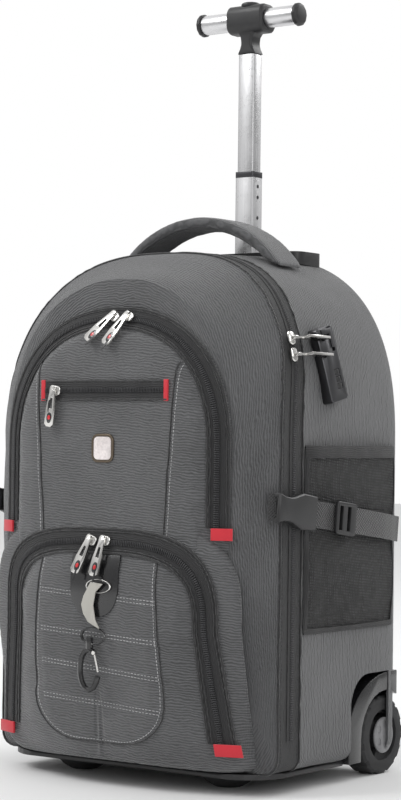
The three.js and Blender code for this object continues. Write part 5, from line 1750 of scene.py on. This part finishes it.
@dataclass
class FrontPanel:
    """What lies on the front pockets: seams, slim zip, badge and tongue."""

    wardrobe: Wardrobe
    pocket_skin: Skin

    def build(self) -> None:
        """Build all of it."""
        self.seams()
        self.slim_zip()
        self.badge()
        self.tongue()

    def line(self, points: Sequence[tuple[float, float]]) -> list[Laid]:
        """Lay a line of x and z points, in millimetres, on the front."""
        table = even_spread(np.array([(x, 0.0, z) for x, z in points]), max(8, 6 * len(points)))
        return [self.pocket_skin.ahead(x, z) for x, _, z in table]

    def seams(self) -> None:
        """Sew the seams that show on both pockets."""
        panel = [(67 + 9 * t, 222 - 140 * t) for t in np.linspace(0, 1, 8)]
        bend = [(76 - 50 * (1 - math.cos(a)), 82 - 40 * math.sin(a)) for a in np.linspace(0.15, math.pi / 2, 9)]
        right = panel + bend
        outline = right + [(-x, z) for x, z in reversed(right)]
        inner = [(x * 0.955, 44 + (z - 42) * 0.985) for x, z in outline]
        cord = tube_along("lower_panel_seam", self.line(outline), 0.9, 0.1)
        finished(cord, self.wardrobe.dark_piping, Slot.BLACK_NYLON)
        row = Stitch(2.2, 0.6, 0.45, 3.4).sew("lower_panel_stitches", [self.line(inner)])
        finished(row, self.wardrobe.thread, Slot.GREY_NYLON)
        bars = []
        for left, right_end in ((183, 176), (147, 140), (117, 107), (84, 76)):
            for drop in (0.0, 3.2):
                bar = [(-65 + 136 * t, left + (right_end - left) * t - drop) for t in np.linspace(0, 1, 8)]
                bars.append(self.line(bar))
        row = Stitch(2.4, 0.6, 0.45, 3.8).sew("quilting_stitches", bars)
        finished(row, self.wardrobe.thread, Slot.GREY_NYLON)
        for side, label in ((1, "right"), (-1, "left")):
            points = [(side * (82 - 11 * t), 395 - 160 * t) for t in np.linspace(0, 1, 10)]
            cord = tube_along(f"upper_panel_seam_{label}", self.line(points), 0.9, 0.1)
            finished(cord, self.wardrobe.dark_piping, Slot.BLACK_NYLON)
            beside = [(x + side * 3.6, z) for x, z in points]
            row = Stitch(2.2, 0.55, 0.4, 3.4).sew(f"upper_panel_stitches_{label}", [self.line(beside)])
            finished(row, self.wardrobe.thread, Slot.GREY_NYLON)

    def slim_zip(self) -> None:
        """Build the slim zip across the upper pocket, with its bindings."""
        line = self.line([(x, SLIM_ZIP_HEIGHT) for x in np.linspace(-70, 70, 20)])
        tape = strip_along("slim_zip_tape", line, 18, 1.2, 0.05)
        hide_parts("slim_zip_band")
        finished(tape, self.wardrobe.black_cloth, Slot.BLACK_NYLON)
        coil = Coil(4.6, 1.5, 1.8).run("slim_zip_coil", line, 1.2)
        finished(coil, self.wardrobe.coil, Slot.BLACK_PLASTIC)
        for label, rise in (("top", 8.6), ("foot", -8.6)):
            edge = self.line([(x, SLIM_ZIP_HEIGHT + rise) for x in np.linspace(-74, 74, 20)])
            cord = tube_along(f"slim_zip_piping_{label}", edge, 1.0, 0.9)
            finished(cord, self.wardrobe.dark_piping, Slot.BLACK_NYLON)
        for side in ("right", "left"):
            tab = refined(f"slim_zip_tab_{side}", f"slim_zip_binding_{side}", 0.6, 2)
            finished(tab, self.wardrobe.red, Slot.RED_CLOTH)

    def badge(self) -> None:
        """Build the blank badge in its dark rim."""
        rim = refined("badge_rim", "badge_frame", 0.7, 3)
        finished(rim, self.wardrobe.bronze, Slot.GUNMETAL)
        face = refined("badge_face", "badge_plate", 0.3, 2)
        finished(face, self.wardrobe.badge, Slot.BADGE_FACE)

    def tongue(self) -> None:
        """Build the glossy tongue under the lower pocket's sliders."""
        patch = refined("slider_patch", "slider_tongue", 0.5, 2)
        finished(patch, self.wardrobe.gloss, Slot.GLOSS_BLACK)


@dataclass
class SidePocket:
    """A net pocket with its bindings, compression strap, ladder slider and buckle."""

    wardrobe: Wardrobe
    side: int
    body_skin: Skin
    foot: float = 146.0
    top: float = 318.0
    front: float = -173.5
    back: float = -14.0
    bulge: float = 9.0

    @property
    def label(self) -> str:
        """Name the side."""
        return "right" if self.side > 0 else "left"

    @staticmethod
    def strap_height(y: float) -> float:
        """Give the height of the strap's middle at a depth."""
        return 238 - 0.11354 * y

    def stand_off(self, y: float, z: float) -> float:
        """Say how far the net stands off the bag at a depth and height, in millimetres.

        Args:
            y: The depth in millimetres.
            z: The height in millimetres.

        Returns:
            The distance in millimetres.
        """
        share = (y - self.back) / (self.front - self.back)
        round_off = math.sin(math.pi * min(1.0, max(0.0, share))) ** 0.6
        low = min(1.0, max(0.0, (z - self.foot) / 41)) ** 0.6
        pinch = 1 - 0.72 * math.exp(-(((z - self.strap_height(y)) / 25) ** 2))
        return self.bulge * round_off * low * pinch

    def build(self) -> None:
        """Build the pocket and all that crosses it."""
        net = self.net()
        bindings = self.bindings(net)
        self.straps()
        for node, name in (("ladder_slider", "ladder"), ("buckle", "side_buckle")):
            piece = refined(f"{node}_{self.label}", f"{name}_{self.label}", 0.5, 2)
            finished(piece, self.wardrobe.plastic, Slot.BLACK_PLASTIC)

    def grid(self) -> np.ndarray:
        """Place the net's points, foot to top and front to back.

        Returns:
            An array of height, depth and coordinate.
        """
        heights = np.linspace(self.foot, self.top, 44)
        depths = np.linspace(self.front, self.back, 40)
        rows = []
        for z in heights:
            row = []
            for y in depths:
                place, normal = self.body_skin.beside(y, z, self.side)
                off = self.stand_off(y, z) + 0.5
                fold = noise.noise(Vector((y * 0.045, z * 0.02, 5.0 * self.side)))
                fold += 0.6 * noise.noise(Vector((y * 0.11, z * 0.035, 9.0)))
                off += 1.6 * fold * min(1.0, off / 3)
                point = place + normal * max(0.35, off) * MM
                row.append((point.x / MM, (point.y - ROOM.shift) / MM, point.z / MM))
            rows.append(row)
        return np.array(rows)

    def net(self) -> bpy.types.Object:
        """Build the net itself.

        Returns:
            The piece's object.
        """
        points = self.grid()
        uv = np.stack([lengths_along(points, 1), lengths_along(points, 0)], axis=2) * MM
        turned = uv.copy()
        turned[..., 0] = (uv[..., 0] + uv[..., 1]) * 0.7071
        turned[..., 1] = (uv[..., 0] - uv[..., 1]) * 0.7071
        piece = cloth_grid(f"net_pocket_{self.label}", points, turned)
        faces_out(piece, Vector((self.side, 0, 0)))
        smooth(piece, 60)
        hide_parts(f"side_mesh_pocket_{self.label}")
        return finished(piece, self.wardrobe.net, Slot.BLACK_MESH)

    def bindings(self, net: bpy.types.Object) -> list[bpy.types.Object]:
        """Bind the net's top and its two upright edges.

        Args:
            net: The net.

        Returns:
            The four bindings.
        """
        skin = Skin.of(net)
        top = [skin.beside(y, self.top - 4, self.side) for y in np.linspace(self.front + 0.5, self.back - 0.5, 24)]
        hem = strip_along(f"net_hem_{self.label}", top, 11, 1.3, 0.1, crown=0.5)
        finished(hem, self.wardrobe.black_cloth, Slot.BLACK_NYLON)
        pieces = [hem]
        for end, y in (("front", self.front + 2.2), ("back", self.back - 2.2)):
            line = [skin.beside(y, z, self.side) for z in np.linspace(self.foot + 1, self.top - 1, 24)]
            edge = strip_along(f"net_edge_{end}_{self.label}", line, 5, 1.1, 0.1, crown=0.3)
            finished(edge, self.wardrobe.black_cloth, Slot.BLACK_NYLON)
            pieces.append(edge)
        foot = [skin.beside(y, self.foot + 2.2, self.side) for y in np.linspace(self.front + 0.5, self.back - 0.5, 24)]
        seam = strip_along(f"net_foot_{self.label}", foot, 5, 1.1, 0.1, crown=0.3)
        finished(seam, self.wardrobe.black_cloth, Slot.BLACK_NYLON)
        return [*pieces, seam]

    def straps(self) -> None:
        """Build the webbing behind and before the buckle."""
        for node in ("rear_strap", "front_strap"):
            source = Skin.of(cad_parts[f"{node}_{self.label}"])
            low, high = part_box(f"{node}_{self.label}")
            start, end = (low.y - ROOM.shift) / MM + 0.4, (high.y - ROOM.shift) / MM - 0.4
            line = []
            middle = (low.z + high.z) / 2 / MM
            for y in np.linspace(start, end, 36):
                height = self.strap_height(y) if node == "rear_strap" else middle
                line.append(source.beside(y, height, self.side))
            piece = strip_along(f"{node}_web_{self.label}", line, 24.6, 1.5, -0.05)
            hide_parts(f"{node}_{self.label}")
            finished(piece, self.wardrobe.webbing, Slot.BLACK_WEBBING)


@dataclass
class PaddedPiece:
    """A padded strap made from its plain solid: remeshed, puffed by simulation and smoothed."""

    wardrobe: Wardrobe
    node: str
    name: str
    finish: bpy.types.Material
    slot: Slot
    cell: float = 4.0
    pressure: float = 2.0
    cap: float = 1.6
    fill: float = 0.6

    def build(self) -> bpy.types.Object:
        """Returns:
            The piece's object.
        """
        piece = bpy.data.objects.new(self.name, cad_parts[self.node].data.copy())
        bpy.context.scene.collection.objects.link(piece)
        with editing(piece, "VERT"):
            bpy.ops.mesh.select_all(action="SELECT")
            bpy.ops.mesh.remove_doubles(threshold=0.00002)
        shell = piece.modifiers.new("cells", "REMESH")
        shell.mode = "VOXEL"
        shell.voxel_size = self.cell * MM
        apply_all(piece)
        relax = piece.modifiers.new("relax", "SMOOTH")
        relax.factor = 0.5
        relax.iterations = 3
        apply_all(piece)
        Press(self.pressure, self.cap, -0.01).settle(piece, lambda p: 0.02)
        finer = piece.modifiers.new("finer", "SUBSURF")
        finer.levels = 1
        finer.render_levels = 1
        apply_all(piece)
        smooth(piece, 180)
        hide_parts(self.node)
        finished(piece, self.finish, self.slot)
        return piece


@dataclass
class CarryStraps:
    """The grab handle on top and the shoulder straps on the back."""

    wardrobe: Wardrobe

    def build(self) -> None:
        """Build the three padded pieces."""
        PaddedPiece(self.wardrobe, "grab_handle", "grab_handle_pad", self.wardrobe.grey_pad, Slot.GREY_NYLON, 3.0,
                    cap=1.2, fill=0.7).build()
        for side in ("right", "left"):
            PaddedPiece(self.wardrobe, f"shoulder_strap_{side}", f"shoulder_pad_{side}", self.wardrobe.pad,
                        Slot.PADDED_CLOTH).build()


# The hard pieces


@dataclass
class TrolleyHandle:
    """The telescopic tubes, the T-handle and the cradle that they slide out of."""

    wardrobe: Wardrobe

    def build(self) -> None:
        """Build every piece of the handle."""
        parts = (
            ("handle_cradle", "pole_cradle", 1.0, self.wardrobe.plastic, Slot.BLACK_PLASTIC, Body.BAG),
            ("lower_tube", "outer_tube", 0.4, self.wardrobe.aluminium, Slot.TUBE, Body.LOWER_TUBE),
            ("upper_tube", "inner_tube", 0.4, self.wardrobe.aluminium, Slot.TUBE, Body.PULL_HANDLE),
            ("handle_head", "t_handle_hub", 0.9, self.wardrobe.plastic, Slot.BLACK_PLASTIC, Body.PULL_HANDLE),
            ("grip_right", "grip_sleeve_right", 0.4, self.wardrobe.aluminium, Slot.GRIP, Body.PULL_HANDLE),
            ("grip_left", "grip_sleeve_left", 0.4, self.wardrobe.aluminium, Slot.GRIP, Body.PULL_HANDLE),
            ("head_button", "release_button", 0.8, self.wardrobe.plastic, Slot.BLACK_PLASTIC, Body.BUTTON),
        )
        for node, name, width, finish, slot, body in parts:
            finished(refined(node, name, width, 3), finish, slot, body)
        self.collar()

    @staticmethod
    def rounded_bar(name: str, size: Sequence[float], centre: Sequence[float]) -> bpy.types.Object:
        """Add an upright bar with the tube's rounded corners, in millimetres.

        Args:
            name: The bar's name.
            size: Its three sizes.
            centre: Its centre.

        Returns:
            The piece's object.
        """
        bar = block(name, size, centre)
        with editing(bar, "EDGE") as mesh:
            pick_edges(mesh, lambda a, b: abs(a.x - b.x) < 1e-5 and abs(a.y - b.y) < 1e-5)
            bpy.ops.mesh.bevel(offset=2 * MM, segments=4, affect="EDGES")
        return bar

    def collar(self) -> None:
        """Build the outer tube's dark collar, and dark discs that paint the shade of its catch holes."""
        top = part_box("lower_tube")[1].z / MM
        rim = [v.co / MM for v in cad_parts["lower_tube"].data.vertices if v.co.z / MM > top - 1]
        wide, deep = (max(p[k] for p in rim) - min(p[k] for p in rim) for k in (0, 1))
        x, y = (max(p[k] for p in rim) / 2 + min(p[k] for p in rim) / 2 for k in (0, 1))
        ring = self.rounded_bar("tube_collar", (wide + 0.3, deep + 0.3, 6), (x, y, top - 3))
        carved(ring, self.rounded_bar("bore", (wide - 0.4, deep - 0.4, 12), (x, y, top - 3)))
        bevelled(ring, 0.1, 2)
        smooth(ring, 40)
        finished(ring, self.wardrobe.gunmetal, Slot.TUBE, Body.LOWER_TUBE)
        # Painted shade: flat dark discs where the tube has holes for its catch.
        for label, drop in (("upper", 15.0), ("lower", 26.0), ("foot", 47.0)):
            mark = disc(f"catch_mark_{label}", 1.9, 0.4, 20, (x + wide / 2, y, top - drop), "X")
            bevelled(mark, 0.08, 2)
            smooth(mark, 40)
            finished(mark, self.wardrobe.gunmetal, Slot.TUBE, Body.LOWER_TUBE)


@dataclass
class RollingBase:
    """The tray, feet, wheel housings and wheels."""

    wardrobe: Wardrobe

    def build(self) -> None:
        """Build every piece of the base."""
        finished(self.tray(), self.wardrobe.plastic, Slot.BLACK_PLASTIC)
        for side in ("right", "left"):
            foot = refined(f"front_foot_{side}", f"foot_{side}", 1.0, 3)
            finished(foot, self.wardrobe.rubber, Slot.BLACK_PLASTIC)
            housing = refined(f"wheel_housing_{side}", f"housing_{side}", 0.8, 3)
            finished(housing, self.wardrobe.gloss, Slot.GLOSS_BLACK)
            body = Body.WHEEL_RIGHT if side == "right" else Body.WHEEL_LEFT
            wheel = refined(f"wheel_{side}", f"rolling_wheel_{side}", 0.7, 2)
            finished(wheel, self.wardrobe.rubber, Slot.WHEEL, body)
            self.hub_cap(side, body)

    @staticmethod
    def tray() -> bpy.types.Object:
        """Build the tray, its two front corners rounded under the cloth's.

        Returns:
            The piece's object.
        """
        piece = refined("base_tray", "tray", 1.0, 3)
        low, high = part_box("base_tray")
        wide, deep, tall = ((high[k] - low[k]) / MM for k in range(3))
        centre = (0, low.y / MM + deep / 2 + 19.5, (low.z + high.z) / 2 / MM)
        room = block("room", (wide + 1, deep + 40, tall + 10), centre)
        with editing(room, "EDGE") as mesh:
            pick_edges(mesh, lambda a, b: abs(a.x - b.x) < 0.001 and abs(a.y - b.y) < 0.001 and a.y < low.y + 0.01)
            bpy.ops.mesh.bevel(offset=0.05, segments=8, affect="EDGES")
        shape = piece.modifiers.new("kept", "BOOLEAN")
        shape.operation = "INTERSECT"
        shape.object = room
        shape.solver = "EXACT"
        apply_all(piece)
        bpy.data.objects.remove(room)
        return piece

    def hub_cap(self, side: str, body: str) -> None:
        """Build the wheel's grey hub disc with its ring of recesses.

        Args:
            side: Right or left.
            body: The wheel's body.
        """
        low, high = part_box(f"wheel_{side}")
        middle = (low + high) / 2 / MM
        outer = (high.x if side == "right" else low.x) / MM
        way = 1 if side == "right" else -1
        cap = disc(f"hub_cap_{side}", 17.5, 1.6, 36, (outer + way * 0.3, middle.y, middle.z), "X")
        hollows = []
        for k in range(5):
            turn = 2 * math.pi * k / 5
            place = (outer + way * 1.1, middle.y + 10.5 * math.cos(turn), middle.z + 10.5 * math.sin(turn))
            hollows.append(disc("hollow", 3.6, 1.4, 16, place, "X"))
        carved(cap, *hollows)
        bevelled(cap, 0.25, 2)
        smooth(cap, 40)
        finished(cap, self.wardrobe.hub, Slot.WHEEL, body)


@dataclass
class ZipSliders:
    """The bright sliders with their pulls, black inlays and red dots."""

    wardrobe: Wardrobe

    def build(self) -> None:
        """Build each slider, and inlay the pulls that face the front."""
        for node in ("upper_slider_right", "upper_slider_left", "lower_slider_right", "lower_slider_left",
                     "slim_slider", "main_slider_upper", "main_slider_lower"):
            piece = finished(refined(node, node + "_metal", 0.25, 2), self.wardrobe.chrome, Slot.CHROME)
            if not node.startswith("main"):
                self.inlay(node, piece)

    def inlay(self, node: str, piece: bpy.types.Object) -> None:
        """Lay the black inlay, the red dot, and a dark plate painted as the shade of the open slot, on a pull, square
        to its face.

        Args:
            node: The slider's CAD node.
            piece: The finished slider.
        """
        low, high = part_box(node)
        spots = [v.co for v in piece.data.vertices]
        head = [p for p in spots if p.z > high.z - 0.004]
        tail = [p for p in spots if p.z < low.z + 0.004]
        top = sum(head, Vector()) / len(head)
        foot = sum(tail, Vector()) / len(tail)
        along = Vector((top.x - foot.x, 0, top.z - foot.z)).normalized()
        skin = Skin.of(piece)
        for label, share, size, finish in (
            # The slot's plate is painted shade: a dark ellipse where the pull is open, not a hole.
            ("window", 18.0, (1.1, 6.0), self.wardrobe.plastic), ("inlay", 7.2, (3.0, 5.2), self.wardrobe.gloss),
            ("dot", 7.4, (1.7, 2.2), self.wardrobe.red_enamel),
        ):
            spot = foot + along * (share * MM)
            place, normal = skin.ahead(spot.x / MM, spot.z / MM)
            if normal.y > -0.2:
                continue
            up = along - normal * along.dot(normal)
            up.normalize()
            seat = Seat(place, up.cross(normal), up, normal)
            plate = disc(f"{node}_{label}", 1, 0.5, 20)
            with editing(plate, "VERT"):
                bpy.ops.mesh.select_all(action="SELECT")
                bpy.ops.transform.resize(value=(size[0], size[1], 1))
                bpy.ops.transform.translate(value=(0, 0, 0.25 * MM if label == "dot" else 0))
            bevelled(plate, 0.12, 2)
            smooth(plate, 40)
            finished(seat.take(plate), finish, Slot.CHROME)


@dataclass
class CombinationLock:
    """The lock on the bag's right side."""

    wardrobe: Wardrobe

    def build(self) -> None:
        """Build the lock's body, dials and latch."""
        finished(refined("lock_body", "lock_case", 0.3, 2), self.wardrobe.gunmetal, Slot.GUNMETAL)
        for number in (1, 2, 3):
            dial = refined(f"lock_dial_{number}", f"dial_ring_{number}", 0.3, 2)
            finished(dial, self.wardrobe.plastic, Slot.BLACK_PLASTIC, f"dial_{number}")
        finished(refined("lock_latch", "latch_slide", 0.3, 2), self.wardrobe.gunmetal, Slot.GUNMETAL, Body.LATCH)


@dataclass
class SnapHook:
    """The wire ring, webbing loop, snap hook and gate on the front."""

    wardrobe: Wardrobe

    def build(self) -> None:
        """Build each of its pieces."""
        finished(refined("wire_ring", "split_ring", 0.3, 2), self.wardrobe.chrome, Slot.CHROME)
        strap = refined("hook_strap", "hook_web", 0.2, 1)
        finished(strap, self.wardrobe.light_webbing, Slot.GREY_WEBBING)
        finished(refined("snap_hook", "swivel_hook", 0.5, 2), self.wardrobe.gloss, Slot.BLACK_PLASTIC)
        finished(refined("hook_gate", "wire_gate", 0.2, 1), self.wardrobe.chrome, Slot.CHROME, Body.GATE)


# Floor, light and camera


@dataclass
class Studio:
    """A pale floor, soft lights and the camera at the photograph's angle."""

    spot: tuple[float, float, float] = (1.2709, -1.72715, 0.3254)
    azimuth: float = 36.0
    elevation: float = -1.0
    roll: float = 0.7
    lens: float = 98.4

    def build(self) -> None:
        """Build the studio."""
        self.camera()
        self.floor()
        self.lights()
        bpy.context.scene.view_settings.view_transform = "Standard"

    def camera(self) -> None:
        """Set the camera."""
        a, e, r = (math.radians(v) for v in (self.azimuth, self.elevation, self.roll))
        back = Vector((math.sin(a) * math.cos(e), -math.cos(a) * math.cos(e), math.sin(e)))
        right = Vector((math.cos(a), math.sin(a), 0))
        up = back.cross(right)
        across = right * math.cos(r) + up * math.sin(r)
        above = up * math.cos(r) - right * math.sin(r)
        data = bpy.data.cameras.new("camera")
        data.lens = self.lens
        data.sensor_width = 36
        data.clip_end = 50
        camera = bpy.data.objects.new("camera", data)
        bpy.context.scene.collection.objects.link(camera)
        camera.matrix_world = Matrix((across, above, back)).transposed().to_4x4()
        camera.location = self.spot
        bpy.context.scene.camera = camera

    def floor(self) -> None:
        """Lay the floor."""
        deselect()
        bpy.ops.mesh.primitive_plane_add(size=16)
        floor = bpy.context.object
        floor.name = "floor"
        paper = bpy.data.materials.new("pale floor")
        paper.use_nodes = True
        shader = paper.node_tree.nodes["Principled BSDF"]
        shader.inputs["Base Color"].default_value = (0.86, 0.86, 0.86, 1)
        shader.inputs["Roughness"].default_value = 0.7
        floor.data.materials.append(paper)

    def lights(self) -> None:
        """Set the soft lights and the pale surroundings."""
        world = bpy.data.worlds.new("studio")
        world.use_nodes = True
        self.surroundings(world)
        bpy.context.scene.world = world
        for name, place, size, power in (
            ("key", (-1.4, -1.8, 2.6), 1.3, 42.0),
            ("fill", (2.6, -1.4, 1.4), 1.4, 16.0),
            ("rim", (0.9, 2.2, 2.2), 1.4, 26.0),
        ):
            data = bpy.data.lights.new(name, "AREA")
            data.size = size
            data.energy = power
            lamp = bpy.data.objects.new(name, data)
            bpy.context.scene.collection.objects.link(lamp)
            lamp.location = place
            aim = Vector((0, 0, 0.35)) - Vector(place)
            lamp.rotation_euler = aim.to_track_quat("-Z", "Y").to_euler()


    @staticmethod
    def surroundings(world: bpy.types.World) -> None:
        """Make a white backdrop that lights the bag from above and leaves dark bands for the metal to mirror.

        Args:
            world: The scene's world.
        """
        graph = Graph(world.node_tree)
        parts = graph.add("SeparateXYZ", {0: graph.add("TexCoord").outputs["Generated"]})
        lift = graph.add("MapRange", {0: parts.outputs[2], 1: -0.1, 2: 0.75, 3: 0.42, 4: 1.15}).outputs[0]
        wave = graph.math("SINE", graph.math("MULTIPLY", parts.outputs[0], 7.0))
        shade = graph.math("ADD", graph.math("MULTIPLY", wave, 0.3), 0.8)
        seen = graph.add("LightPath").outputs["Is Camera Ray"]
        level = graph.math("MULTIPLY", lift, shade)
        graph.tree.links.new(
            graph.mixed(seen, graph.mixed(level, (0, 0, 0, 1), (1, 1, 1, 1)), (1, 1, 1, 1)),
            world.node_tree.nodes["Background"].inputs["Color"],
        )


def main() -> None:
    """Build the backpack and its studio."""
    logging.basicConfig(level=logging.INFO, format="%(name)s: %(message)s")
    Studio().build()
    wardrobe = Wardrobe()
    body_skin = BagBody(wardrobe).build()
    upper = FrontPocket(
        wardrobe, "upper", upper_arches(), [2, 5, 5, 5], 1, 244.3, 330, -1.0, ("upper_pocket", "upper_zip_band"),
        ("upper_zip_tab_right", "upper_zip_tab_left"),
    )
    lower = FrontPocket(
        wardrobe, "lower", lower_arches(), [3, 5, 5, 6, 6], 2, 49.1, 140, -1.2, ("lower_pocket", "lower_zip_band"),
        ("lower_zip_tab_right", "lower_zip_tab_left"), (6.0, 16.0, 24.0, 28.0, 42.0, 52.0),
    )
    shells = []
    for pocket in (upper, lower):
        shell = pocket.shell()
        shells.append(shell)
        pocket.zip_band(Skin.of(shell))
        pocket.tabs()
    FrontPanel(wardrobe, Skin.of(*shells)).build()
    for side in (1, -1):
        SidePocket(wardrobe, side, body_skin).build()
    CarryStraps(wardrobe).build()
    TrolleyHandle(wardrobe).build()
    RollingBase(wardrobe).build()
    ZipSliders(wardrobe).build()
    CombinationLock(wardrobe).build()
    SnapHook(wardrobe).build()


if __name__ == "__main__":
    main()
